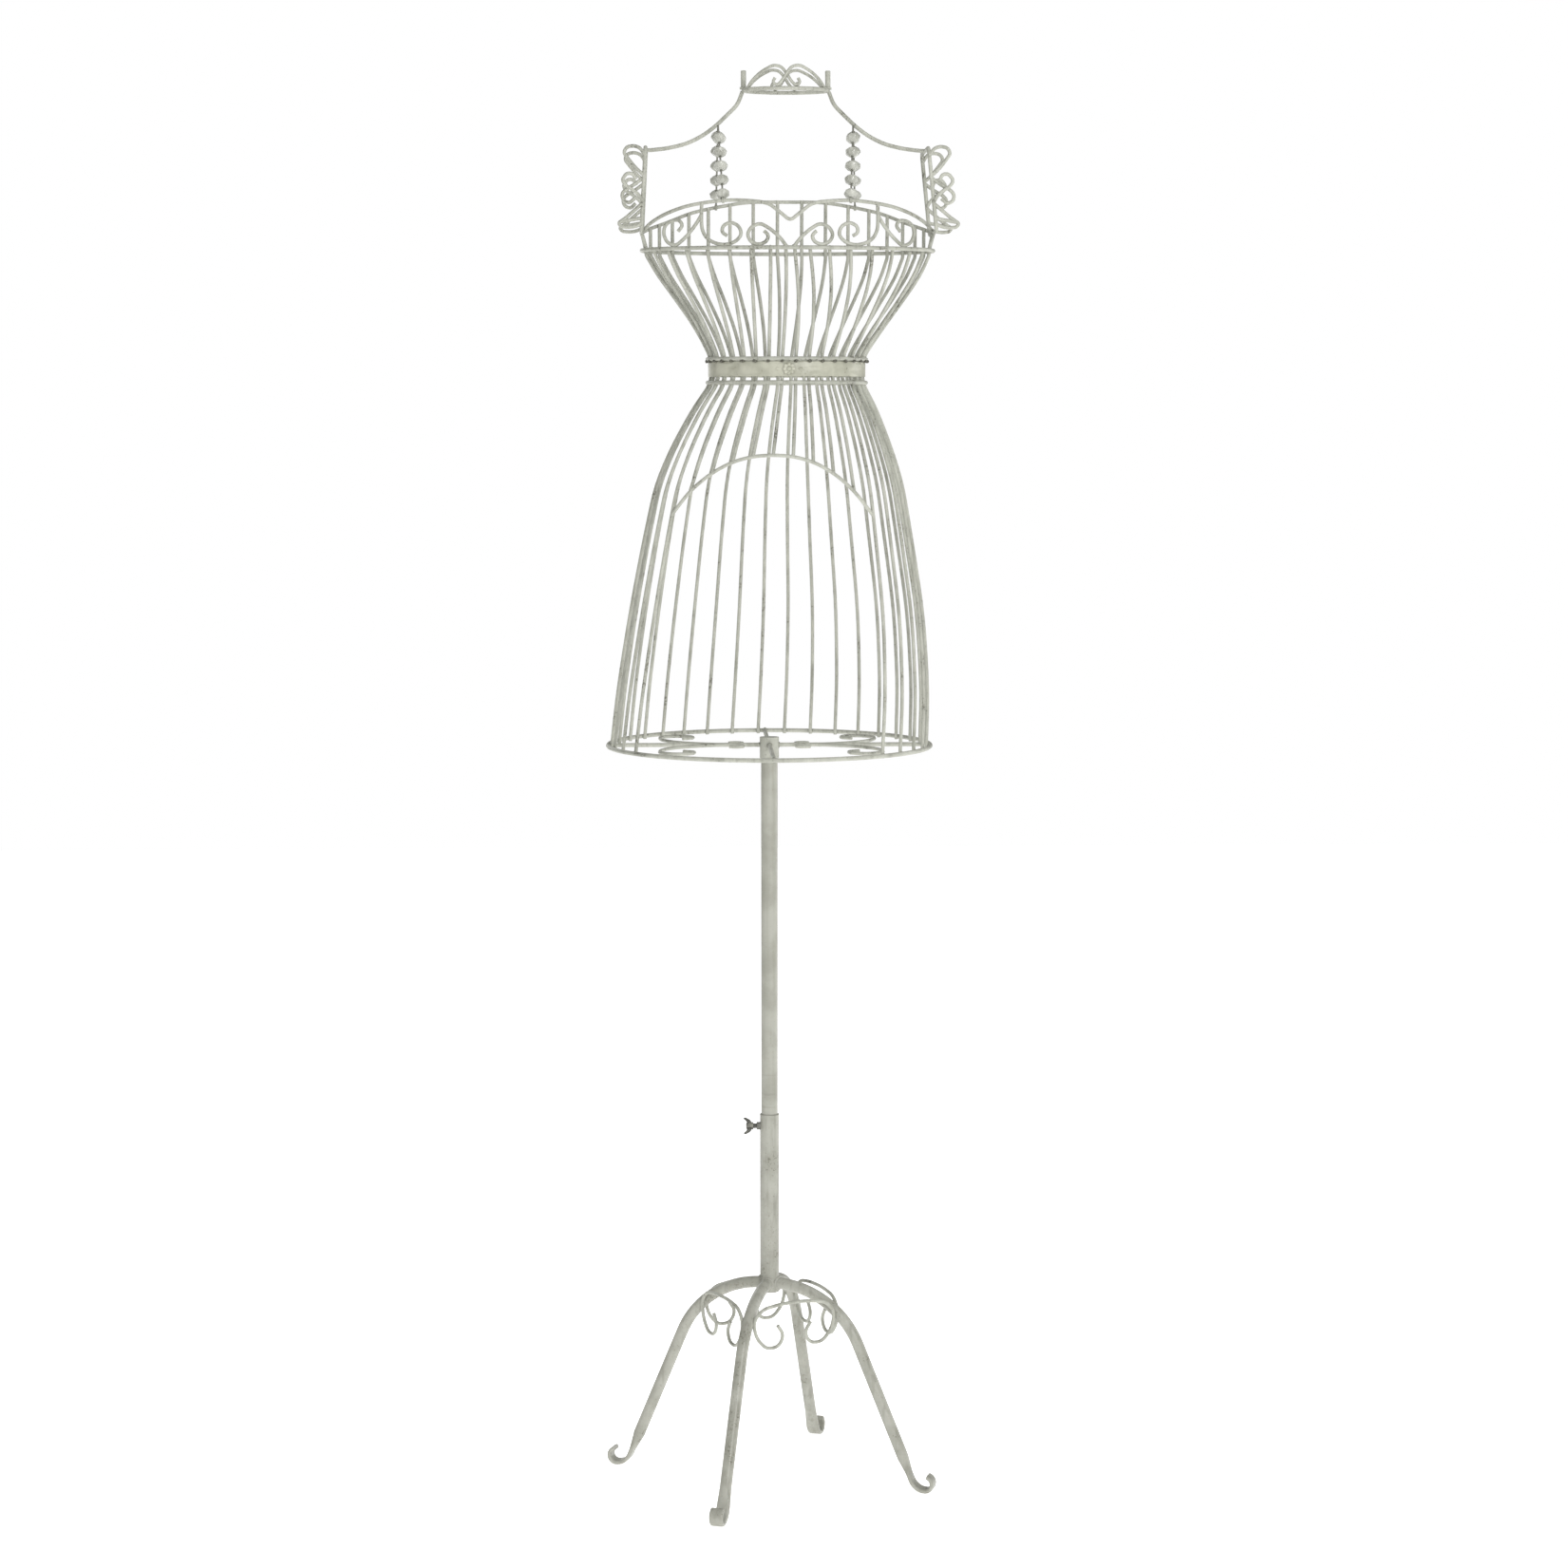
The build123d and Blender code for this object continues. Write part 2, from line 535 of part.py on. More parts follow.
def hub():
    """Capped socket over the pole's top, with four spokes and four scrolls in the plane of the hem."""
    bottom = HEM_HEIGHT - HUB_DROP
    top = HEM_HEIGHT + HUB_RISE
    socket = Cylinder(HUB_DIAMETER / 2, top - bottom, align=UPWARD)
    socket -= Cylinder(POLE_DIAMETER / 2 + FIT_GAP, top - bottom - HUB_CAP, align=UPWARD)
    parts["hub_socket"] = [Pos(0, 0, bottom) * socket]
    reach = HEM_RADIUS + lap(RIB_WIRE, HEM_WIRE)
    start = HUB_DIAMETER / 2 - WELD_BITE
    bar = Cylinder(SPOKE_WIRE / 2, reach - start, align=UPWARD)
    spokes = []
    for i in range(4):
        spokes.append(Pos(0, 0, HEM_HEIGHT) * Rot(0, 0, 90 * i) * Pos(start, 0, 0) * Rot(0, 90, 0) * bar)
    parts["hem_spokes"] = spokes
    near = lap(SPOKE_WIRE, ORNAMENT_WIRE)
    shape = [(46, 22), (38, 27), (30, 21), (31, 11), (41, near - 0.8), (58, near - 0.8), (82, 13), (108, 32),
             (125, 62), (126, 95), (108, 112), (89, 105), (86, 86), (99, 78)]
    scrolls = []
    for side in (-1, 1):
        for end in (-1, 1):
            points = [(side * x, end * y, HEM_HEIGHT) for x, y in shape]
            scrolls.append(wire_along(points, ORNAMENT_WIRE))
    parts["hem_scrolls"] = scrolls


def pole():
    """Upper pole tube with a plug in its top end."""
    top = HEM_HEIGHT + HUB_RISE - HUB_CAP - BODY_GAP
    tube_top = top - PLUG_THICKNESS
    bottom = LOWER_TUBE_TOP - POLE_INSERTION
    tube = Cylinder(POLE_DIAMETER / 2, tube_top - bottom, align=UPWARD)
    tube -= Cylinder(POLE_DIAMETER / 2 - POLE_WALL, tube_top - bottom, align=UPWARD)
    parts["upper_pole"] = [Pos(0, 0, bottom) * tube]
    plug = Pos(0, 0, tube_top) * Cylinder(POLE_DIAMETER / 2, PLUG_THICKNESS, align=UPWARD)
    plug += Pos(0, 0, tube_top - PLUG_DEPTH) * Cylinder(POLE_DIAMETER / 2 - POLE_WALL, PLUG_DEPTH, align=UPWARD)
    parts["pole_top_plug"] = [plug]


def leg_bend():
    """Centre of a foot's bend, the leg's lower end above it, and the corner and centre of the leg's bend."""
    slope = radians(LEG_SLOPE)
    foot_centre = Vector(FOOT_REACH, 0, FOOT_BEND_RADIUS + FOOT_THICKNESS / 2)
    end = foot_centre - Vector(sin(slope), 0, cos(slope)) * FOOT_BEND_RADIUS
    corner = Vector(end.X - (LEG_HUB_HEIGHT - end.Z) / tan(slope), 0, LEG_HUB_HEIGHT)
    centre = Vector(corner.X - LEG_BEND_RADIUS * tan(slope / 2), 0, LEG_HUB_HEIGHT - LEG_BEND_RADIUS)
    return foot_centre, end, corner, centre


def leg():
    """One leg along +X: bent tube, flattened at its lower end, bent level on the floor and curled up."""
    foot_centre, end, corner, _ = leg_bend()
    down = (end - corner).normalized()
    flat_start = end - down * FOOT_FLATTEN_LENGTH
    path = bent_path([(0, 0, LEG_HUB_HEIGHT), corner, flat_start], radius=LEG_BEND_RADIUS)
    start = Plane(path @ 0, x_dir=(0, 1, 0), z_dir=path % 0)
    tube = sweep(start * (Circle(LEG_DIAMETER / 2) - Circle(LEG_DIAMETER / 2 - LEG_WALL)), path=path)
    round_end = Plane(flat_start, x_dir=(0, 1, 0), z_dir=down) * Circle(LEG_DIAMETER / 2)
    strip = RectangleRounded(FOOT_WIDTH, FOOT_THICKNESS, FOOT_EDGE_RADIUS)
    flat_end = Plane(end, x_dir=(0, 1, 0), z_dir=down) * strip
    flattened = loft([round_end, flat_end])
    foot = revolve(flat_end, axis=Axis(foot_centre, (0, -1, 0)), revolution_arc=LEG_SLOPE)
    ground = foot_centre - Vector(0, 0, FOOT_BEND_RADIUS)
    level_end = Plane(ground, x_dir=(0, 1, 0), z_dir=(1, 0, 0)) * strip
    curl_axis = Axis(ground + Vector(0, 0, FOOT_CURL_RADIUS), (0, -1, 0))
    curl = revolve(level_end, axis=curl_axis, revolution_arc=FOOT_CURL_ARC)
    whole = tube + flattened + foot + curl
    core = Pos(0, 0, LOWER_TUBE_BOTTOM) * Cylinder(LOWER_TUBE_DIAMETER / 2 - WELD_BITE, LEG_HUB_HEIGHT)
    return whole - core


def stand():
    """Lower tube, its four legs and the scroll between each two legs."""
    height = LOWER_TUBE_TOP - LOWER_TUBE_BOTTOM
    tube = Cylinder(LOWER_TUBE_DIAMETER / 2, height, align=UPWARD)
    tube -= Cylinder(LOWER_TUBE_BORE / 2, height, align=UPWARD)
    tube = Pos(0, 0, LOWER_TUBE_BOTTOM) * tube
    hole = Rot(0, -90, 0) * Cylinder(SCREW_DIAMETER / 2 + FIT_GAP, LOWER_TUBE_DIAMETER, align=UPWARD)
    parts["lower_tube"] = [tube - Pos(0, 0, CLAMP_HEIGHT) * hole]
    _, _, _, bend = leg_bend()
    reach = STAND_SCROLL_DISTANCE - lap(LEG_DIAMETER, ORNAMENT_WIRE) * sqrt(2)
    radius = (STAND_SCROLL_DISTANCE + reach) / sqrt(2)
    contact = bend.Z + sqrt(LEG_BEND_RADIUS ** 2 - (radius - bend.X) ** 2)
    arm = [(0.43, -8), (0.27, -20), (0.4, -33), (0.72, -34), (0.98, -20), (1.06, 0), (0.82, 13)]
    half = [(share * reach, contact + rise) for share, rise in arm]
    crest = (reach * 0.32, contact + STAND_SCROLL_RISE + 1)
    profile = half + [crest] + [(-across, height) for across, height in [crest] + half[::-1]]
    for i, name in enumerate(LEG_NAMES):
        turn = LEG_TURN + 360 / LEG_COUNT * i
        parts["leg_" + name] = [Rot(0, 0, turn) * leg()]
        points = [(STAND_SCROLL_DISTANCE, across, height) for across, height in profile]
        scroll = wire_along(points, ORNAMENT_WIRE)
        following = LEG_NAMES[(i + 1) % LEG_COUNT]
        parts["stand_scroll_" + name + "_" + following] = [Rot(0, 0, turn + 180 / LEG_COUNT) * scroll]


def clamp():
    """Nut welded to the lower tube, and a wing screw whose tip bears on the upper pole."""
    outward = Pos(0, 0, CLAMP_HEIGHT) * Rot(0, -90, 0)
    nut_end = LOWER_TUBE_DIAMETER / 2 + NUT_LENGTH
    nut = extrude(RegularPolygon(NUT_DIAMETER / 2, 6), nut_end)
    nut = outward * (nut - Cylinder(SCREW_DIAMETER / 2 + FIT_GAP, nut_end * 2))
    core = Pos(0, 0, CLAMP_HEIGHT) * Cylinder(LOWER_TUBE_DIAMETER / 2 - WELD_BITE, NUT_DIAMETER * 2)
    parts["clamp_nut"] = [nut - core]
    tip = POLE_DIAMETER / 2 + BODY_GAP
    screw = Pos(0, 0, tip) * Cylinder(SCREW_DIAMETER / 2, SCREW_LENGTH, align=UPWARD)
    parts["clamp_screw"] = [outward * screw]
    hub_start = tip + SCREW_LENGTH - WING_HUB_LENGTH + 1
    wing_hub = Cylinder(WING_HUB_DIAMETER / 2, WING_HUB_LENGTH, align=UPWARD)
    wing_hub -= Cylinder(SCREW_DIAMETER / 2 + FIT_GAP, WING_HUB_LENGTH - 1, align=UPWARD)
    outline = Polygon((2, 1), (WING_SPAN / 2 - WING_ROUND, WING_HUB_LENGTH), (WING_SPAN / 2, WING_RISE),
                      (WING_SPAN / 2 - WING_ROUND, WING_RISE + 2), (2, WING_HUB_LENGTH), align=None)
    outline = fillet(outline.vertices().sort_by(Axis.X)[-3:], 1.5)
    blade = Rot(90, 0, 0) * extrude(outline, WING_THICKNESS / 2, both=True)
    blade -= Cylinder(WING_HUB_DIAMETER / 2 - WELD_BITE, WING_HUB_LENGTH, align=UPWARD)
    wings = wing_hub + blade + Rot(0, 0, 180) * blade
    parts["wing_head"] = [outward * Pos(0, 0, hub_start) * Rot(0, 0, WING_TURN) * wings]


for build_piece in (ribs, skirt_rings, belt, necklines, bust_scrolls, armholes, shoulders, neck, straps, hub,
                    pole, stand, clamp):
    build_piece()

os.makedirs("parts", exist_ok=True)
for name, pieces in parts.items():
    solids = [solid for piece in pieces for solid in piece.solids()]
    export_step(Compound(children=solids), "parts/" + name + ".step")
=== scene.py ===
import random
from math import cos, pi, radians, sin, sqrt

import bmesh
import bpy
from mathutils import Euler, Matrix, Vector


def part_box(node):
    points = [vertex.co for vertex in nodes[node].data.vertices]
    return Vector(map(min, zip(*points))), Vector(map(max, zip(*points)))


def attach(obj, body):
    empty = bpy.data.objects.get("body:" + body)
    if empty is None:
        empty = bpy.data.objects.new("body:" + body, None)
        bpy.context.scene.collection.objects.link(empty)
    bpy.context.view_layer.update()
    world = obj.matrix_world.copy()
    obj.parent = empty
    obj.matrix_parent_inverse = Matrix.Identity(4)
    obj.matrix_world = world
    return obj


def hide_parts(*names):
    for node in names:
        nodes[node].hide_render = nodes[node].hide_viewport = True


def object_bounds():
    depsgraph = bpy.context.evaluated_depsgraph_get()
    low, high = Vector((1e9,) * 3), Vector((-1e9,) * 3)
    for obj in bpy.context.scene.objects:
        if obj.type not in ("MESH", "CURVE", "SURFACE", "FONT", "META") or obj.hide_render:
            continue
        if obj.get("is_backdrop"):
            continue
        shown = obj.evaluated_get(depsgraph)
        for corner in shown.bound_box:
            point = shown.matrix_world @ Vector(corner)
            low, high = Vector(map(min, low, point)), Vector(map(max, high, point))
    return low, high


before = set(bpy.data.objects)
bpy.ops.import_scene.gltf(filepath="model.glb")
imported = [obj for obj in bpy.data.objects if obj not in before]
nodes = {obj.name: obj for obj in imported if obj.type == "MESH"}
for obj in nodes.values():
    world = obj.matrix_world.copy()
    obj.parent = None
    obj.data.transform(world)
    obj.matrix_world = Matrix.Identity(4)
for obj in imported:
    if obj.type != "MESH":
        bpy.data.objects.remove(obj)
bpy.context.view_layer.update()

# ---- Room ----
# The form stands on a plain pale floor in a white studio. A tall soft lamp stands to
# the front right, a wider and weaker one to the left, one behind and one overhead.
bpy.ops.object.select_all(action="DESELECT")

CAMERA_LENS = 80.83
CAMERA_DISTANCE = 4.03
CAMERA_HEIGHT = 1.246
CAMERA_SIDE = radians(-1.7)
CAMERA_PAN = radians(-1.94)
CAMERA_PITCH = radians(6.04)
camera_data = bpy.data.cameras.new("camera")
camera_data.lens = CAMERA_LENS
camera_data.sensor_width = 36.0
camera_data.clip_start = 0.05
camera = bpy.data.objects.new("camera", camera_data)
bpy.context.scene.collection.objects.link(camera)
camera.location = (CAMERA_DISTANCE * sin(CAMERA_SIDE), -CAMERA_DISTANCE * cos(CAMERA_SIDE), CAMERA_HEIGHT)
camera.rotation_euler = (pi / 2 - CAMERA_PITCH, 0, CAMERA_PAN)
bpy.context.scene.camera = camera
bpy.context.scene.view_settings.view_transform = "Standard"


class Value:
    """An output socket of a shader, so that shader maths is written as plain expressions."""

    def __init__(self, shop, socket):
        self.shop = shop
        self.socket = socket

    def maths(self, operation, first, second):
        return self.shop.node("ShaderNodeMath", {"operation": operation}, {0: first, 1: second})

    def __add__(self, other):
        return self.maths("ADD", self, other)

    __radd__ = __add__

    def __sub__(self, other):
        return self.maths("SUBTRACT", self, other)

    def __rsub__(self, other):
        return self.maths("SUBTRACT", other, self)

    def __mul__(self, other):
        return self.maths("MULTIPLY", self, other)

    __rmul__ = __mul__


class PaintShop:
    """One node tree, to which every node is added by one method."""

    def __init__(self, tree):
        self.tree = tree

    def node(self, kind, settings=None, inputs=None, output=0):
        made = self.tree.nodes.new(kind)
        for name, value in (settings or {}).items():
            setattr(made, name, value)
        for name, value in (inputs or {}).items():
            self.join(value, made.inputs[name])
        return Value(self, made.outputs[output])

    def join(self, value, socket):
        if isinstance(value, Value):
            self.tree.links.new(value.socket, socket)
        else:
            socket.default_value = value

    def noise(self, scale, detail=4.0, stretch=(1, 1, 1)):
        """Cloudy noise over the piece; a stretch under 1 draws it out along that axis."""
        place = self.node("ShaderNodeTexCoord", output=3)
        place = self.node("ShaderNodeMapping", {}, {"Vector": place, "Scale": stretch})
        inputs = {"Vector": place, "Scale": scale, "Detail": detail, "Roughness": 0.55}
        return self.node("ShaderNodeTexNoise", {}, inputs)

    def ramp(self, value, low, high):
        """0 below low, 1 above high, smooth between."""
        settings = {"interpolation_type": "SMOOTHSTEP"}
        return self.node("ShaderNodeMapRange", settings, {"Value": value, "From Min": low, "From Max": high})

    def mix(self, share, first, second):
        return self.node("ShaderNodeMix", {"data_type": "RGBA"}, {0: share, 6: first, 7: second}, output=2)

    def bump(self, height, strength, depth):
        return self.node("ShaderNodeBump", {}, {"Height": height, "Strength": strength, "Distance": depth})

    def shade_in_corners(self, reach):
        """Painted shade: 1 deep in a corner between two wires, where shade falls, 0 in the open."""
        # Painted shade mask, read from occlusion.
        open_sky = self.node("ShaderNodeAmbientOcclusion", {"samples": 6}, {"Distance": reach}, output=1)
        return 1 - open_sky


def new_paint(name):
    material = bpy.data.materials.new(name)
    material.use_nodes = True
    return material, PaintShop(material.node_tree)


def brush_on(material, **sockets):
    """Feed the shader of a material and hand the material back."""
    shader = material.node_tree.nodes["Principled BSDF"]
    for name, value in sockets.items():
        PaintShop(material.node_tree).join(value, shader.inputs[name.replace("_", " ")])
    return material


def tint(red, green, blue):
    """sRGB in 0 to 255 as a linear colour."""
    shares = [part / 255 for part in (red, green, blue)]
    return (*[share / 12.92 if share <= 0.04045 else ((share + 0.055) / 1.055) ** 2.4 for share in shares], 1.0)


FLOOR_SIZE = 12.0
bpy.ops.mesh.primitive_plane_add(size=FLOOR_SIZE, location=(0, 0, 0))
floor = bpy.context.object
floor.name = "floor"
floor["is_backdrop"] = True
floor_material, shop = new_paint("floor_sweep")
floor_tone = shop.mix(shop.noise(1.2), tint(244, 244, 244), tint(250, 250, 250))
floor.data.materials.append(brush_on(floor_material, Base_Color=floor_tone, Roughness=0.9,
                                     Emission_Color=tint(255, 255, 255), Emission_Strength=0.75))

# What is seen past the floor is white. What lights the form is dimmer, and brighter
# from the front and above.
world = bpy.data.worlds.new("studio")
bpy.context.scene.world = world
world.use_nodes = True
shop = PaintShop(world.node_tree)
seen = shop.node("ShaderNodeLightPath")
direction = shop.node("ShaderNodeTexCoord")
toward_back = shop.node("ShaderNodeSeparateXYZ", {}, {"Vector": direction}, output=1)
upward = shop.node("ShaderNodeSeparateXYZ", {}, {"Vector": direction}, output=2)
glow = 0.22 + shop.ramp(toward_back, 0.4, -1.0) * 0.14 + shop.ramp(upward, 0.0, 1.0) * 0.22
shop.join(seen + (1 - seen) * glow, world.node_tree.nodes["Background"].inputs["Strength"])
world.node_tree.nodes["Background"].inputs["Color"].default_value = (1.0, 1.0, 1.0, 1.0)

# Place, width, height and power of each lamp.
LAMPS = {"key": ((1.2, -3.0, 1.9), 0.45, 2.4, 52.0), "fill": ((-2.6, -1.8, 1.5), 1.6, 2.2, 8.0),
         "rim": ((2.6, 0.9, 1.4), 0.4, 2.2, 18.0), "overhead": ((0.0, -0.6, 3.4), 2.0, 2.0, 14.0),
         "back": ((-1.2, 2.8, 1.6), 1.0, 2.2, 12.0)}
for lamp_name, (place, width, height, power) in LAMPS.items():
    lamp_data = bpy.data.lights.new(lamp_name, "AREA")
    lamp_data.shape = "RECTANGLE"
    lamp_data.size = width
    lamp_data.size_y = height
    lamp_data.energy = power
    lamp = bpy.data.objects.new(lamp_name, lamp_data)
    bpy.context.scene.collection.objects.link(lamp)
    lamp.location = place
    lamp.rotation_euler = (Vector((0, 0, 1.0)) - Vector(place)).to_track_quat("-Z", "Y").to_euler()

# ---- Legs ----
# Four bent steel tubes, each flattened at its lower end and rolled into a curled foot.
# They are welded to the lower tube all round, then painted off-white and glazed.
def antique_paint(name, light, shade, glaze_and_shade, metal, gloss=0.4):
    """Off-white paint in uneven coats, grey-green glaze in runs and specks, painted shade in the glaze colour
    in corners, and rubbed bare spots.
    """
    material, shop = new_paint(name)
    coats = shop.noise(32.0, detail=5.0)
    runs = shop.noise(140.0, detail=3.0, stretch=(1, 1, 0.12))
    specks = shop.noise(430.0, detail=3.0)
    grit = shop.noise(1500.0, detail=2.0)
    # Mask of the corners between wires, where shade falls.
    corner = shop.ramp(shop.shade_in_corners(0.006), 0.25, 0.95)
    tone = shop.mix(shop.ramp(coats, 0.36, 0.64), light, shade)
    tone = shop.mix(shop.ramp(runs, 0.5, 0.72) * 0.45, tone, glaze_and_shade)
    tone = shop.mix(shop.ramp(specks, 0.58, 0.72) * 0.5, tone, glaze_and_shade)
    # Painted shade: the glaze colour darkens the corners.
    tone = shop.mix(corner * 0.6, tone, glaze_and_shade)
    bare = shop.ramp(specks * 0.45 + coats * 0.55, 0.585, 0.63)
    tone = shop.mix(bare * 0.75, tone, metal)
    surface = specks * 0.55 + grit * 0.3 + runs * 0.15
    return brush_on(material, Base_Color=tone, Roughness=gloss + specks * 0.2 - bare * 0.1, Metallic=bare * 0.5,
                    Normal=shop.bump(surface, 0.35, 0.0004), Coat_Weight=0.12, Coat_Roughness=0.25)


def finish(names, material):
    """Paint the wires and tubes that come straight from the frame."""
    for name in names:
        nodes[name].data.materials.clear()
        nodes[name].data.materials.append(material)


def settle(piece, name, material, body):
    """Put a modelled piece's place into its mesh, name it, paint it and hang it on its body."""
    bpy.ops.object.select_all(action="DESELECT")
    piece.select_set(True)
    bpy.context.view_layer.objects.active = piece
    bpy.ops.object.transform_apply(location=True, rotation=True, scale=True)
    piece.name = name
    piece.data.name = name
    piece.data.materials.clear()
    piece.data.materials.append(material)
    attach(piece, body)
    return piece


def copies(master, places, smooth=True):
    """Copies of a master piece, each at its own place, joined as one piece; the master goes."""
    made = []
    for place in places:
        copy = master.copy()
        copy.data = master.data.copy()
        bpy.context.scene.collection.objects.link(copy)
        copy.matrix_world = place
        made.append(copy)
    bpy.data.objects.remove(master, do_unlink=True)
    bpy.context.view_layer.update()
    bpy.ops.object.select_all(action="DESELECT")
    for copy in made:
        copy.select_set(True)
    bpy.context.view_layer.objects.active = made[0]
    bpy.ops.object.join()
    bpy.ops.object.transform_apply(location=True, rotation=True, scale=True)
    if smooth:
        bpy.ops.object.shade_smooth()
    return bpy.context.object


stand_paint = antique_paint("antique_paint_tube", tint(166, 166, 156), tint(148, 148, 137), tint(116, 116, 104),
                            tint(108, 106, 94), gloss=0.3)
LEGS = ("leg_right", "leg_back", "leg_left", "leg_front")
finish(LEGS, stand_paint)

LEG_RADIUS = 0.00675
LOWER_TUBE_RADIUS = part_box("lower_tube")[1][0]
LEG_WELD_THICKNESS = 0.0015
LEG_HEIGHT = 0.234
WELD_LIFT = 0.0004
WELD_ROUGHNESS = 0.0004
for seed, leg_name in enumerate(LEGS):
    corners = [vertex.co for vertex in nodes[leg_name].data.vertices]
    outward = sum(corners, Vector()) / len(corners)
    outward.z = 0
    outward.normalize()
    sideways = Vector((-outward.y, outward.x, 0))
    seat = outward * (LOWER_TUBE_RADIUS + WELD_LIFT) + Vector((0, 0, LEG_HEIGHT))
    bpy.ops.object.select_all(action="DESELECT")
    bpy.ops.mesh.primitive_torus_add(major_radius=LEG_RADIUS + WELD_LIFT, minor_radius=LEG_WELD_THICKNESS,
                                     major_segments=56, minor_segments=10, location=seat,
                                     rotation=outward.to_track_quat("Z", "Y").to_euler())
    bead = bpy.context.object
    bpy.ops.object.mode_set(mode="EDIT")
    bpy.ops.mesh.select_all(action="SELECT")
    bpy.ops.transform.vertex_random(offset=WELD_ROUGHNESS, seed=seed)
    bpy.ops.object.mode_set(mode="OBJECT")
    settle(bead, leg_name + "_weld", stand_paint, "base")
    for vertex in bead.data.vertices:
        across = vertex.co.dot(sideways)
        vertex.co -= outward * (LOWER_TUBE_RADIUS - sqrt(LOWER_TUBE_RADIUS ** 2 - across ** 2))
    bpy.ops.object.shade_smooth()

# ---- Lower tube ----
# Steel tube of 22 mm that the legs are welded to. Its top edge is rolled over smooth
# where the pole slides in, and it is painted with the legs.
finish(["lower_tube"], stand_paint)
LIP_THICKNESS = 0.0008
LIP_INSET = 0.0005
tube_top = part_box("lower_tube")[1][2]
bpy.ops.object.select_all(action="DESELECT")
bpy.ops.mesh.primitive_torus_add(major_radius=LOWER_TUBE_RADIUS - LIP_INSET, minor_radius=LIP_THICKNESS,
                                 major_segments=72, minor_segments=10,
                                 location=(0, 0, tube_top - LIP_THICKNESS))
lip = bpy.context.object
bpy.ops.object.shade_smooth()
settle(lip, "lower_tube_lip", stand_paint, "base")

# ---- Stand scrolls ----
# A bent wire between each two legs, curled down and in at both ends. It is dipped
# with the frame, so it has the frame's paint, and is tacked to the legs at its shoulders.
frame_paint = antique_paint("antique_paint_wire", tint(176, 177, 166), tint(158, 159, 148), tint(118, 119, 106),
                            tint(98, 96, 86))
finish([name for name in nodes if name.startswith("stand_scroll_")], frame_paint)

# ---- Clamp nut ----
# Hexagonal steel nut, chamfered at its outer end, with a turned washer face and a
# plain bore. It is welded flat against the lower tube and painted over thinly.
zinc_material, shop = new_paint("dull_zinc")
brushed = shop.noise(260.0, detail=4.0, stretch=(0.15, 1, 1))
stains = shop.noise(95.0, detail=5.0)
zinc_tone = shop.mix(shop.ramp(brushed, 0.35, 0.65), tint(120, 120, 114), tint(96, 96, 90))
zinc_tone = shop.mix(shop.ramp(stains, 0.52, 0.66) * 0.55, zinc_tone, tint(150, 150, 138))
# Painted shade: the bore and recesses are darkened almost to black where shade falls.
zinc_tone = shop.mix(shop.ramp(shop.shade_in_corners(0.003), 0.2, 0.9) * 0.7, zinc_tone, tint(52, 52, 46))
brush_on(zinc_material, Base_Color=zinc_tone, Roughness=0.34 + brushed * 0.25, Metallic=0.75 - stains * 0.4,
         Normal=shop.bump(brushed, 0.2, 0.0002))


def pick(kind, test):
    """In edit mode, select only the faces, edges or vertices that pass a test."""
    bpy.ops.mesh.select_mode(type=kind)
    bpy.ops.mesh.select_all(action="DESELECT")
    mesh = bmesh.from_edit_mesh(bpy.context.object.data)
    for item in {"FACE": mesh.faces, "EDGE": mesh.edges, "VERT": mesh.verts}[kind]:
        if test(item):
            item.select_set(True)
    mesh.select_flush_mode()
    bmesh.update_edit_mesh(bpy.context.object.data)


def shape(**modifiers):
    """Add modifiers to the active piece, each with its settings, and apply them in turn."""
    for kind, settings in modifiers.items():
        modifier = bpy.context.object.modifiers.new(kind, kind.upper())
        for name, value in settings.items():
            setattr(modifier, name, value)
        bpy.ops.object.modifier_apply(modifier=modifier.name)


NUT_RADIUS = 0.005
NUT_INNER = 0.0032
NUT_CHAMFER = 0.0004
clamp_low, clamp_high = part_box("clamp_nut")
clamp_height = (clamp_low[2] + clamp_high[2]) / 2
nut_back = -LOWER_TUBE_RADIUS + 0.0015
nut_length = nut_back - clamp_low[0]
bpy.ops.object.select_all(action="DESELECT")
bpy.ops.mesh.primitive_cylinder_add(vertices=6, radius=NUT_RADIUS - NUT_CHAMFER / 2, depth=nut_length,
                                    rotation=(0, -pi / 2, 0),
                                    location=((nut_back + clamp_low[0]) / 2, 0, clamp_height))
nut = bpy.context.object
bpy.ops.object.mode_set(mode="EDIT")
pick("FACE", lambda face: face.normal.z > 0.9)
bpy.ops.mesh.inset(thickness=NUT_CHAMFER)
pick("FACE", lambda face: face.normal.z > 0.9 and len(face.verts) == 6)
bpy.ops.mesh.inset(thickness=NUT_RADIUS * 0.866 - NUT_CHAMFER * 1.5 - NUT_INNER)
bpy.ops.mesh.extrude_region_move(TRANSFORM_OT_translate={"value": (nut_length * 0.6, 0, 0)})
bpy.ops.object.mode_set(mode="OBJECT")
shape(Bevel={"width": NUT_CHAMFER, "segments": 3, "limit_method": "ANGLE"})
bpy.ops.object.shade_smooth_by_angle(angle=radians(35))
settle(nut, "clamp_nut_body", zinc_material, "base")
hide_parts("clamp_nut")

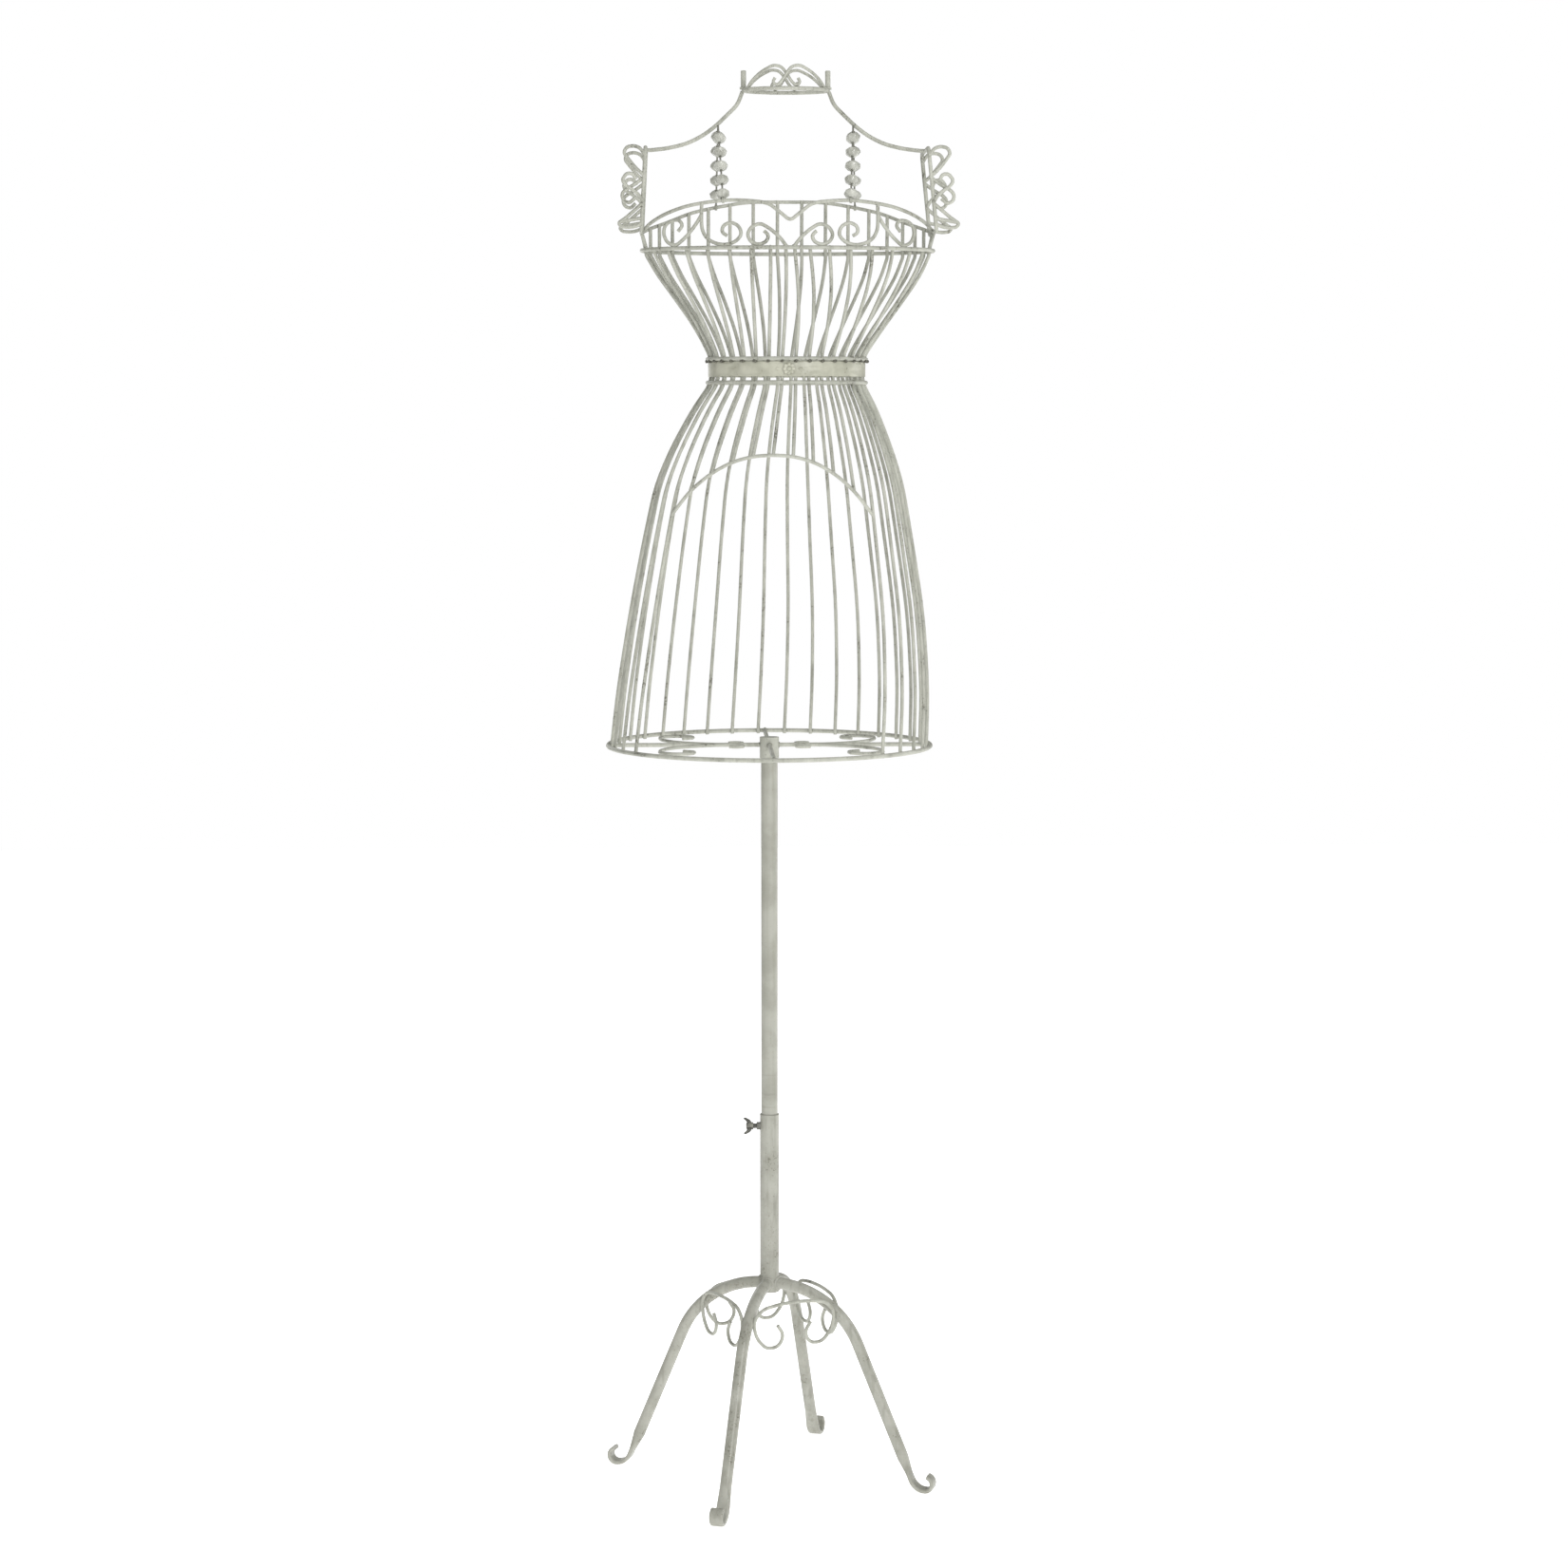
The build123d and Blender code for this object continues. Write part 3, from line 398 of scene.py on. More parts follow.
# ---- Clamp screw ----
# Steel screw of 6 mm with a coarse rolled thread. Its tip bears on the pole through
# the nut, and its outer end is pressed into the wing head.
SCREW_RADIUS = 0.003
THREAD_PITCH = 0.001
THREAD_DEPTH = 0.0005
THREAD_SIDES = 40
THREAD_STEPS = 8
screw_low, screw_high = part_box("clamp_screw")
screw_length = screw_high[0] - screw_low[0]
rows = round(screw_length / THREAD_PITCH * THREAD_STEPS)
bpy.ops.object.select_all(action="DESELECT")
bpy.ops.mesh.primitive_cylinder_add(vertices=THREAD_SIDES, radius=SCREW_RADIUS, depth=screw_length,
                                    end_fill_type="TRIFAN", rotation=(0, -pi / 2, 0),
                                    location=((screw_low[0] + screw_high[0]) / 2, 0, clamp_height))
screw = bpy.context.object
bpy.ops.object.mode_set(mode="EDIT")
pick("EDGE", lambda edge: abs(edge.verts[0].co.z - edge.verts[1].co.z) > screw_length / 2)
bpy.ops.mesh.subdivide(number_cuts=rows - 1)
bpy.ops.object.mode_set(mode="OBJECT")
for vertex in screw.data.vertices:
    from_end = screw_length / 2 - abs(vertex.co.z)
    if vertex.co.xy.length > SCREW_RADIUS / 2:
        turns = vertex.co.z / THREAD_PITCH - vertex.co.xy.angle_signed(Vector((1, 0))) / (2 * pi)
        groove = abs(turns % 1 - 0.5) * 2 * THREAD_DEPTH
        chamfer = max(0.0, THREAD_DEPTH - from_end)
        vertex.co.xy *= (SCREW_RADIUS - max(groove, chamfer)) / SCREW_RADIUS
bpy.ops.object.shade_smooth_by_angle(angle=radians(30))
settle(screw, "clamp_screw_thread", zinc_material, "clamp_screw")
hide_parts("clamp_screw")

# ---- Wing head ----
# Cast zinc head with a tapered hub and two ears for the fingers, each thick at its
# root, thin in the middle and rounded over at its tip.
WING_TURN = radians(50)
WING_HUB_LENGTH = 0.008
HUB_ROOT_RADIUS = 0.0045
HUB_TIP_RADIUS = 0.0037
HUB_DISH_RIM = 0.0008
HUB_CROWN = 0.0004
EAR_ROOT_SIZE = (0.003, 0.0032, 0.006)
EAR_ROOT_OUT = 0.0042
EAR_ROOT_RISE = 0.0046
# Pull outwards, pull up, and change of thickness and height: thin web, swelling, thick tip, rounding.
EAR_PULLS = ((0.0018, 0.0012, 0.62, 0.95), (0.002, 0.0022, 1.0, 0.95), (0.0017, 0.002, 1.25, 0.8),
             (0.001, 0.0006, 0.7, 0.6))
hub_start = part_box("wing_head")[1][0]
bpy.ops.object.select_all(action="DESELECT")
bpy.ops.mesh.primitive_cone_add(vertices=40, radius1=HUB_ROOT_RADIUS, radius2=HUB_TIP_RADIUS,
                                depth=WING_HUB_LENGTH, location=(0, 0, WING_HUB_LENGTH / 2))
wing_hub = bpy.context.object
bpy.ops.object.mode_set(mode="EDIT")
pick("FACE", lambda face: abs(face.normal.z) > 0.9)
bpy.ops.mesh.inset(thickness=HUB_DISH_RIM, use_individual=True)
pick("FACE", lambda face: face.normal.z > 0.9 and len(face.verts) > 4)
bpy.ops.transform.translate(value=(0, 0, HUB_CROWN))
bpy.ops.object.mode_set(mode="OBJECT")
shape(Bevel={"width": 0.0005, "segments": 3, "limit_method": "ANGLE"})
ears = []
for side in (1, -1):
    bpy.ops.object.select_all(action="DESELECT")
    bpy.ops.mesh.primitive_cube_add(size=1, scale=EAR_ROOT_SIZE,
                                    location=(side * EAR_ROOT_OUT, 0, EAR_ROOT_RISE))
    bpy.ops.object.transform_apply(location=True, rotation=True, scale=True)
    bpy.ops.object.mode_set(mode="EDIT")
    for move_out, move_up, thick, tall in EAR_PULLS:
        pick("FACE", lambda face: face.normal.x * side > 0.5)
        bpy.ops.mesh.extrude_region_move(TRANSFORM_OT_translate={"value": (side * move_out, 0, move_up)})
        bpy.ops.transform.resize(value=(1, thick, tall))
    bpy.ops.object.mode_set(mode="OBJECT")
    shape(Subsurf={"levels": 3, "render_levels": 3})
    ears.append(bpy.context.object)
for piece in ears:
    piece.select_set(True)
wing_hub.select_set(True)
bpy.context.view_layer.objects.active = wing_hub
bpy.ops.object.join()
bpy.ops.object.shade_smooth_by_angle(angle=radians(40))
wing_hub.matrix_world = (Matrix.Translation((hub_start, 0, clamp_height)) @ Matrix.Rotation(-pi / 2, 4, "Y")
                         @ Matrix.Rotation(WING_TURN, 4, "Z") @ wing_hub.matrix_world)
settle(wing_hub, "wing_head_cast", zinc_material, "wing_head")
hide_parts("wing_head")

# ---- Upper pole ----
# Straight steel tube of 19 mm that slides in the lower one, painted the same, with
# rubbed rings where the clamp has marked it. A moulded plug closes its hidden top.
pole_material, shop = new_paint("antique_paint_pole")
coats = shop.noise(26.0, detail=5.0)
runs = shop.noise(150.0, detail=3.0, stretch=(1, 1, 0.06))
rings = shop.noise(240.0, detail=2.0, stretch=(0.1, 0.1, 1))
specks = shop.noise(430.0, detail=3.0)
grit = shop.noise(1500.0, detail=2.0)
height = shop.node("ShaderNodeSeparateXYZ", {}, {"Vector": shop.node("ShaderNodeTexCoord", output=3)}, output=2)
slid = shop.ramp(height, 0.52, 0.44) * shop.ramp(rings, 0.52, 0.68)
pole_tone = shop.mix(shop.ramp(coats, 0.36, 0.64), tint(166, 166, 156), tint(148, 148, 137))
pole_tone = shop.mix(shop.ramp(runs, 0.48, 0.72) * 0.4, pole_tone, tint(140, 140, 126))
pole_tone = shop.mix(shop.ramp(specks, 0.6, 0.74) * 0.4, pole_tone, tint(128, 128, 114))
pole_tone = shop.mix(slid * 0.3, pole_tone, tint(118, 118, 108))
brush_on(pole_material, Base_Color=pole_tone, Roughness=0.3 + specks * 0.2 - slid * 0.06, Metallic=slid * 0.25,
         Normal=shop.bump(specks * 0.5 + grit * 0.3 + rings * slid * 0.15, 0.3, 0.0004),
         Coat_Weight=0.12, Coat_Roughness=0.25)
finish(["upper_pole"], pole_material)

plug_material, shop = new_paint("moulded_plug")
plug_grain = shop.noise(900.0, detail=3.0)
plug_tone = shop.mix(plug_grain, tint(58, 58, 55), tint(74, 74, 70))
brush_on(plug_material, Base_Color=plug_tone, Roughness=0.55 + plug_grain * 0.15,
         Normal=shop.bump(plug_grain, 0.2, 0.0001))
finish(["pole_top_plug"], plug_material)

# ---- Hub, spokes and hem ----
# Capped socket that drops over the pole, four straight spokes to the hem ring, and
# four scrolls between them, all in one level plane. The spokes are welded at both ends.
finish(["hub_socket", "hem_spokes", "hem_scrolls", "hem_ring"], frame_paint)
weld_paint = antique_paint("glazed_weld", tint(152, 153, 142), tint(132, 133, 122), tint(92, 93, 82),
                           tint(88, 86, 76), gloss=0.45)


def ring_middle(name):
    """Middle and half sizes of a ring's box."""
    low, high = (Vector(corner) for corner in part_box(name))
    return (low + high) / 2, (high - low) / 2


def weld_row(name, places, size, seed, body="torso"):
    """Small lumps of weld metal, each at a point and facing outwards, joined as one piece."""
    chance = random.Random(seed)
    bpy.ops.object.select_all(action="DESELECT")
    bpy.ops.mesh.primitive_ico_sphere_add(subdivisions=2, radius=1)
    lump = bpy.context.object
    turns = []
    for point, facing in places:
        swell = [amount * chance.uniform(0.85, 1.15) for amount in size]
        turn = Vector(facing).to_track_quat("Y", "Z").to_matrix().to_4x4()
        tilt = Euler((chance.uniform(-0.3, 0.3), chance.uniform(-0.3, 0.3), 0)).to_matrix().to_4x4()
        turns.append(Matrix.Translation(point) @ turn @ tilt @ Matrix.Diagonal((*swell, 1)))
    row = copies(lump, turns)
    return settle(row, name, weld_paint, body)


hub_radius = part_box("hub_socket")[1][0]
hem_middle, hem_half = ring_middle("hem_ring")
hem_radius = hem_half.x - hem_half.z
spoke_welds = []
for quarter in range(4):
    outward = Vector((cos(quarter * pi / 2), sin(quarter * pi / 2), 0))
    inner = outward * (hub_radius + 0.0002) + Vector((0, 0, hem_middle.z))
    outer = outward * (hem_radius - hem_half.z * 0.8) + Vector((0, 0, hem_middle.z))
    spoke_welds += [(inner, outward), (outer, outward)]
weld_row("spoke_welds", spoke_welds, (0.0034, 0.0012, 0.0034), seed=11)

# ---- Ribs ----
# Thirty-six bent wires from the hem over the waist to the bust. They stand inside the
# rings and are spot welded to each, which leaves a small glazed lump at every crossing.
RIBS = ("ribs_front", "ribs_left", "ribs_right", "ribs_back")
finish(RIBS, frame_paint)
RIB_WIRE = 0.004


def crossings(names, height):
    """Middles of the wires of some nodes where they pass through a level plane."""
    middles = []
    for name in names:
        cut = bmesh.new()
        cut.from_mesh(nodes[name].data)
        everything = cut.verts[:] + cut.edges[:] + cut.faces[:]
        found = bmesh.ops.bisect_plane(cut, geom=everything, plane_co=(0, 0, height), plane_no=(0, 0, 1))
        groups = []
        for item in found["geom_cut"]:
            if isinstance(item, bmesh.types.BMVert):
                near = [group for group in groups if (group[0] - item.co).length < RIB_WIRE * 1.6]
                if near:
                    near[0].append(item.co.copy())
                else:
                    groups.append([item.co.copy()])
        cut.free()
        for group in groups:
            low = Vector([min(point[axis] for point in group) for axis in range(3)])
            high = Vector([max(point[axis] for point in group) for axis in range(3)])
            middles.append((low + high) / 2)
    return middles


def outward_at(point, middle, half):
    """Level direction straight out of an oval at a point on it."""
    return Vector(((point.x - middle.x) / half.x ** 2, (point.y - middle.y) / half.y ** 2, 0)).normalized()


def weld_ribs(ring, seed, size=(0.0027, 0.0018, 0.0026), drop=0.0, names=RIBS):
    """Weld lumps where the ribs cross the inside of a ring."""
    middle, half = ring_middle(ring)
    places = []
    for point in crossings(names, middle.z - drop):
        facing = outward_at(point, middle, half)
        places.append((point + facing * RIB_WIRE * 0.5 + Vector((0, 0, drop)), facing))
    return weld_row(ring + "_welds", places, size, seed)


weld_ribs("hem_ring", 21, names=("ribs_left", "ribs_right", "ribs_back"))
weld_ribs("waist_ring_lower", 22)
weld_ribs("waist_ring_upper", 23)
weld_ribs("bust_ring", 24, drop=0.0012)

# ---- Rings ----
# Round wire rings bent to the form's outline: two at the waist, one at the bust, and the
# arched wire over the skirt's opening. The waist, bust and hem rings are butt welded at the back.
RINGS = ("waist_ring_lower", "waist_ring_upper", "bust_ring", "skirt_arch")
finish(RINGS, frame_paint)
BUTT_RADIUS = 0.0027
for seed, ring_name in enumerate(("waist_ring_lower", "waist_ring_upper", "bust_ring", "hem_ring")):
    middle, half = ring_middle(ring_name)
    joint = Vector((middle.x, half.y - half.z, middle.z))
    weld_row(ring_name + "_butt", [(joint, (0, 1, 0))], (0.0024, BUTT_RADIUS, BUTT_RADIUS), seed=31 + seed)

# ---- Waist belt ----
# Flat steel band bent round the waist between the two rings, its edges dressed round,
# lightly beaten and glazed in streaks, with painted shade by the rings and ribs. It is soldered to the ribs.
belt_material, shop = new_paint("antique_paint_belt")
coats = shop.noise(45.0, detail=5.0)
brushed = shop.noise(170.0, detail=4.0, stretch=(0.2, 0.2, 1))
specks = shop.noise(430.0, detail=3.0)
dents = shop.noise(75.0, detail=1.0)
belt_tone = shop.mix(shop.ramp(coats, 0.34, 0.66), tint(184, 184, 168), tint(160, 160, 144))
belt_tone = shop.mix(shop.ramp(brushed, 0.52, 0.7) * 0.5, belt_tone, tint(138, 138, 120))
# Painted shade: darker where the belt meets the rings and ribs, where shade falls.
belt_tone = shop.mix(shop.ramp(shop.shade_in_corners(0.006), 0.15, 0.8) * 0.7, belt_tone, tint(96, 97, 82))
belt_bare = shop.ramp(specks * 0.5 + coats * 0.5, 0.6, 0.65)
belt_tone = shop.mix(belt_bare * 0.7, belt_tone, tint(118, 116, 102))
brush_on(belt_material, Base_Color=belt_tone, Roughness=0.34 + brushed * 0.2, Metallic=belt_bare * 0.5,
         Normal=shop.bump(dents * 0.6 + brushed * 0.25 + specks * 0.15, 0.4, 0.0009), Coat_Weight=0.15,
         Coat_Roughness=0.22)

BELT_THICKNESS = 0.0015
belt_middle, belt_half = ring_middle("waist_belt")
bpy.ops.object.select_all(action="DESELECT")
bpy.ops.mesh.primitive_circle_add(vertices=180, radius=1, location=belt_middle - Vector((0, 0, belt_half.z)))
belt = bpy.context.object
belt.scale = (belt_half.x, belt_half.y, 1)
bpy.ops.object.transform_apply(location=True, rotation=True, scale=True)
bpy.ops.object.mode_set(mode="EDIT")
bpy.ops.mesh.select_mode(type="EDGE")
bpy.ops.mesh.select_all(action="SELECT")
bpy.ops.mesh.extrude_region_move(TRANSFORM_OT_translate={"value": (0, 0, belt_half.z * 2)})
bpy.ops.mesh.select_all(action="SELECT")
bpy.ops.mesh.normals_make_consistent(inside=False)
bpy.ops.object.mode_set(mode="OBJECT")
shape(Solidify={"thickness": BELT_THICKNESS, "offset": -1.0},
      Bevel={"width": 0.0005, "segments": 3, "limit_method": "ANGLE"})
bpy.ops.object.shade_smooth_by_angle(angle=radians(40))
settle(belt, "waist_belt_band", belt_material, "torso")
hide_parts("waist_belt")

# ---- Painted shadow dots ----
# Dark blobs of painted shadow, set just outside the ribs where they come out above the
# belt, in the gaps where shade falls. They are a dark mottled grey.
PAINTED_SHADOW_RISE = 0.0004
PAINTED_SHADOW_OUT = 0.0048
# Dark mottled grey of the painted shadow dots.
painted_shadow_material, shop = new_paint("dark_painted_shadow")
clots = shop.noise(600.0, detail=4.0)
painted_shadow_tone = shop.mix(shop.ramp(clots, 0.35, 0.65), tint(70, 69, 62), tint(112, 111, 100))
brush_on(painted_shadow_material, Base_Color=painted_shadow_tone, Roughness=0.4 + clots * 0.25, Metallic=0.4,
         Normal=shop.bump(clots, 0.4, 0.0004))
belt_top = belt_middle.z + belt_half.z
painted_shadow_places = []
for point in crossings(RIBS, belt_top + PAINTED_SHADOW_RISE):
    facing = outward_at(point, belt_middle, belt_half)
    painted_shadow_places.append((point + facing * PAINTED_SHADOW_OUT, facing))
painted_shadow = weld_row("belt_painted_shadow", painted_shadow_places, (0.0026, 0.0018, 0.0018), seed=41)
painted_shadow.data.materials[0] = painted_shadow_material

# ---- Belt rosette and rivets ----
# Pressed rosette with eight petals round a domed boss, riveted to the middle of the
# belt, and a small domed rivet at each side of it.
ROSETTE_PETALS = 8
PETAL_LENGTH = 0.0031
PETAL_WIDTH = 0.0022
rosette_low, rosette_high = (Vector(corner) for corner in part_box("belt_rosette"))
rosette_radius = (rosette_high.x - rosette_low.x) / 2
rosette_middle = (rosette_low + rosette_high) / 2
rosette_back = belt_middle.y - belt_half.y
bpy.ops.object.select_all(action="DESELECT")
bpy.ops.mesh.primitive_cylinder_add(vertices=64, radius=rosette_radius - 0.0008, depth=0.0012,
                                    location=(0, 0, 0.0004))
rosette = bpy.context.object
bpy.ops.object.transform_apply(location=True, rotation=True, scale=True)
bpy.ops.object.mode_set(mode="EDIT")
pick("FACE", lambda face: face.normal.z > 0.9)
bpy.ops.mesh.inset(thickness=0.0009)
bpy.ops.mesh.extrude_region_move(TRANSFORM_OT_translate={"value": (0, 0, -0.0005)})
bpy.ops.object.mode_set(mode="OBJECT")
shape(Bevel={"width": 0.0002, "segments": 2, "limit_method": "ANGLE"})
bpy.ops.object.select_all(action="DESELECT")
bpy.ops.mesh.primitive_uv_sphere_add(segments=20, ring_count=12, radius=1)
petal = bpy.context.object
petal_turns = []
for i in range(ROSETTE_PETALS):
    turn = Matrix.Rotation(2 * pi * i / ROSETTE_PETALS, 4, "Z")
    petal_turns.append(turn @ Matrix.Translation((rosette_radius - PETAL_LENGTH - 0.0002, 0, 0.001))
                       @ Matrix.Rotation(radians(-9), 4, "Y")
                       @ Matrix.Diagonal((PETAL_LENGTH, PETAL_WIDTH, 0.0012, 1)))
petals = copies(petal, petal_turns)
bpy.ops.object.select_all(action="DESELECT")
bpy.ops.mesh.primitive_uv_sphere_add(segments=32, ring_count=16, radius=1, location=(0, 0, 0.0018),
                                     scale=(0.0026, 0.0026, 0.0022))
bpy.ops.object.transform_apply(location=True, rotation=True, scale=True)
bpy.ops.object.shade_smooth()
petals.select_set(True)
rosette.select_set(True)
bpy.context.view_layer.objects.active = rosette
bpy.ops.object.join()
bpy.ops.object.shade_smooth_by_angle(angle=radians(35))
rosette.matrix_world = (Matrix.Translation((rosette_middle.x, rosette_back, rosette_middle.z))
                        @ Matrix.Rotation(pi / 2, 4, "X"))
settle(rosette, "belt_rosette_pressed", belt_material, "torso")
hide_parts("belt_rosette")

RIVET_RADIUS = 0.002
RIVET_SKIRT = 0.0006
rivets_low, rivets_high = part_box("belt_rivets")
bpy.ops.object.select_all(action="DESELECT")
bpy.ops.mesh.primitive_uv_sphere_add(segments=32, ring_count=16, radius=RIVET_RADIUS)
rivet = bpy.context.object
bpy.ops.object.mode_set(mode="EDIT")
pick("VERT", lambda vertex: vertex.co.z < -0.0001)
bpy.ops.mesh.delete(type="VERT")
pick("EDGE", lambda edge: edge.is_boundary)
bpy.ops.mesh.extrude_region_move(TRANSFORM_OT_translate={"value": (0, 0, -RIVET_SKIRT)})
bpy.ops.mesh.edge_face_add()
bpy.ops.object.mode_set(mode="OBJECT")
rivet_turns = []
for side in (-1, 1):
    across = side * ((rivets_high[0] - rivets_low[0]) / 2 - RIVET_RADIUS)
    lean = across / belt_half.x
    seat = Vector((belt_middle.x + across, -belt_half.y * sqrt(1 - lean ** 2) + 0.0002, rosette_middle.z))
    facing = Vector((lean / belt_half.x, -sqrt(1 - lean ** 2) / belt_half.y, 0))
    rivet_turns.append(Matrix.Translation(seat) @ facing.to_track_quat("Z", "X").to_matrix().to_4x4()
                       @ Matrix.Diagonal((1, 1, 0.6, 1)))
rivets = copies(rivet, rivet_turns, smooth=False)
bpy.ops.object.shade_smooth_by_angle(angle=radians(40))
settle(rivets, "belt_rivet_heads", belt_material, "torso")
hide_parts("belt_rivets")

# ---- Necklines and bust scrolls ----
# Two bent wires run from armhole to armhole over the bust, with three curled scrolls
# each side set in the front one and tacked to the bust ring where they touch it.
finish(["front_neckline", "back_neckline", "bust_scrolls_left", "bust_scrolls_right"], frame_paint)


def islands(name):
    """The separate wires of a node, each as a list of its corners."""
    merged = bmesh.new()
    merged.from_mesh(nodes[name].data)
    bmesh.ops.remove_doubles(merged, verts=merged.verts[:], dist=0.00001)
    left = set(merged.verts)
    found = []
    while left:
        grown = {left.pop()}
        edge = set(grown)
        while edge:
            edge = {other for vertex in edge for link in vertex.link_edges for other in link.verts} - grown
            grown |= edge
        left -= grown
        found.append([vertex.co.copy() for vertex in grown])
    merged.free()
    return found


bust_middle, bust_half = ring_middle("bust_ring")
scroll_welds = []
for side_name in ("left", "right"):
    for wire in islands("bust_scrolls_" + side_name):
        lowest = min(wire, key=lambda point: point.z)
        seat = Vector((lowest.x, lowest.y, bust_middle.z + bust_half.z * 0.9))
        scroll_welds.append((seat, outward_at(lowest, bust_middle, bust_half)))
weld_row("bust_scroll_welds", scroll_welds, (0.0032, 0.0016, 0.0018), seed=51)

# ---- Armholes and shoulder scrolls ----
# A rectangular wire loop stands at each side, with a row of curled scrolls welded to
# its front and back uprights and the necklines' ends to its bottom bar.
finish([name for name in nodes if name.startswith(("armhole_", "shoulder_scrolls_"))], frame_paint)
ARMHOLE_WIRE_RADIUS = 0.00225
NECKLINE_SPACING = (0.004, 0.0105)
armhole_welds = []
for side, side_name in ((-1, "left"), (1, "right")):
    bar_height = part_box("armhole_" + side_name)[0][2] + ARMHOLE_WIRE_RADIUS
    bottom = [vertex.co for vertex in nodes["armhole_" + side_name].data.vertices
              if vertex.co.z < bar_height]
    foot_x = sum(point.x for point in bottom) / len(bottom)
    for end in (-1, 1):
        for forward in NECKLINE_SPACING:
            armhole_welds.append((Vector((foot_x, end * forward, bar_height)), (-side, 0, 0)))
weld_row("armhole_welds", armhole_welds, (0.0036, 0.0026, 0.0025), seed=61)

# ---- Shoulder wires ----
# A curved wire sweeps from each end of the neck ring down to the top of the armhole,
# with a weld fillet at its armhole end.
finish(["shoulder_wire_left", "shoulder_wire_right"], frame_paint)
SHOULDER_WIRE_RADIUS = 0.00225
SHOULDER_WELD_INSET = 0.0005
shoulder_welds = []
for side, side_name in ((-1, "left"), (1, "right")):
    low, high = (Vector(corner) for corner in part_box("shoulder_wire_" + side_name))
    outer_x = high.x - SHOULDER_WELD_INSET if side > 0 else low.x + SHOULDER_WELD_INSET
    shoulder_welds.append((Vector((outer_x, 0, low.z + SHOULDER_WIRE_RADIUS)), (side, 0, 0)))
weld_row("shoulder_welds", shoulder_welds, (0.0036, 0.0022, 0.0027), seed=71)

# ---- Neck ring, posts and crown ----
# An oval wire ring carries a short turned post at each end and crossed scrolls at the
# front and back. The posts are drawn rod, rounded at the tip, in a small weld collar.
finish(["neck_ring", "neck_post_left", "neck_post_right", "crown_scrolls_front", "crown_scrolls_back"],
       frame_paint)
neck_middle, neck_half = ring_middle("neck_ring")
crown_welds = []
for end_name, end in (("front", -1), ("back", 1)):
    for wire in islands("crown_scrolls_" + end_name):
        lowest = min(wire, key=lambda point: point.z)
        crown_welds.append((Vector((lowest.x, lowest.y, neck_middle.z + neck_half.z * 0.4)), (0, end, 0)))
weld_row("crown_welds", crown_welds, (0.002, 0.0016, 0.0013), seed=81)

# ---- Straps ----
# Thin steel wire pulled straight from each shoulder wire to the front and the back
# neckline. Two turns of thinner wire tie its lower end to the neckline.
strap_material, shop = new_paint("strap_wire_steel")
drawn = shop.noise(700.0, detail=3.0)
strap_tone = shop.mix(shop.ramp(drawn, 0.35, 0.65), tint(136, 136, 127), tint(108, 108, 98))
brush_on(strap_material, Base_Color=strap_tone, Roughness=0.35 + drawn * 0.2, Metallic=0.45,
         Normal=shop.bump(drawn, 0.2, 0.0002))
finish([name for name in nodes if name.startswith("strap_wire_")], strap_material)

WRAP_RADIUS = 0.00285
WRAP_WIRE = 0.00075
SIDES = ("left", "right")
ENDS = ("front", "back")


def strap_line(side_name, end_name):
    """Top and bottom of a strap wire's centre line."""
    corners = [vertex.co for vertex in nodes["strap_wire_" + side_name + "_" + end_name].data.vertices]
    middle = sum(corners, Vector()) / len(corners)
    upper = [point for point in corners if point.z > middle.z]
    lower = [point for point in corners if point.z <= middle.z]
    return sum(upper, Vector()) / len(upper), sum(lower, Vector()) / len(lower)


for side_name in SIDES:
    for end_name in ENDS:
        top, bottom = strap_line(side_name, end_name)
        bpy.ops.object.select_all(action="DESELECT")
        bpy.ops.mesh.primitive_torus_add(major_radius=WRAP_RADIUS, minor_radius=WRAP_WIRE, major_segments=36,
                                         minor_segments=8)
        wrap = bpy.context.object
        along = Vector((1, 0, 0)).to_track_quat("Z", "Y").to_matrix().to_4x4()
        wraps = copies(wrap, [Matrix.Translation(bottom + Vector((step, 0, 0))) @ along
                              for step in (-WRAP_WIRE, WRAP_WIRE)])
        settle(wraps, "strap_wrap_" + side_name + "_" + end_name, frame_paint, "torso")

# ---- Beads ----
# Pressed beads with eight sides and a broad waist, cut in kite facets, sprayed the
# frame's off-white and pearled. Each has a small plain cup at either end.
bead_material, shop = new_paint("pearled_bead")
bloom = shop.noise(60.0, detail=3.0)
specks = shop.noise(500.0, detail=3.0)
bead_tone = shop.mix(shop.ramp(bloom, 0.35, 0.65), tint(186, 187, 178), tint(158, 159, 149))
bead_tone = shop.mix(shop.ramp(specks, 0.56, 0.72) * 0.5, bead_tone, tint(122, 123, 112))
# Painted shade: darker in the creases between facets and by the end cups.
bead_tone = shop.mix(shop.ramp(shop.shade_in_corners(0.005), 0.25, 0.9) * 0.65, bead_tone, tint(96, 97, 88))
brush_on(bead_material, Base_Color=bead_tone, Roughness=0.22 + specks * 0.2, Coat_Weight=0.4,
         Coat_Roughness=0.12, Normal=shop.bump(specks, 0.15, 0.0002))

BEAD_HALF_LENGTH = 0.006
BEAD_RADIUS = 0.008
BEAD_SIDES = 8
# Share of the half length against share of the radius, for each ring of facets.
BEAD_RINGS = [(-1, 0.31), (-0.62, 0.66), (-0.16, 0.985), (0.16, 0.985), (0.62, 0.66), (1, 0.31)]
CUP_RADIUS = 0.0021
CUP_THICKNESS = 0.0006


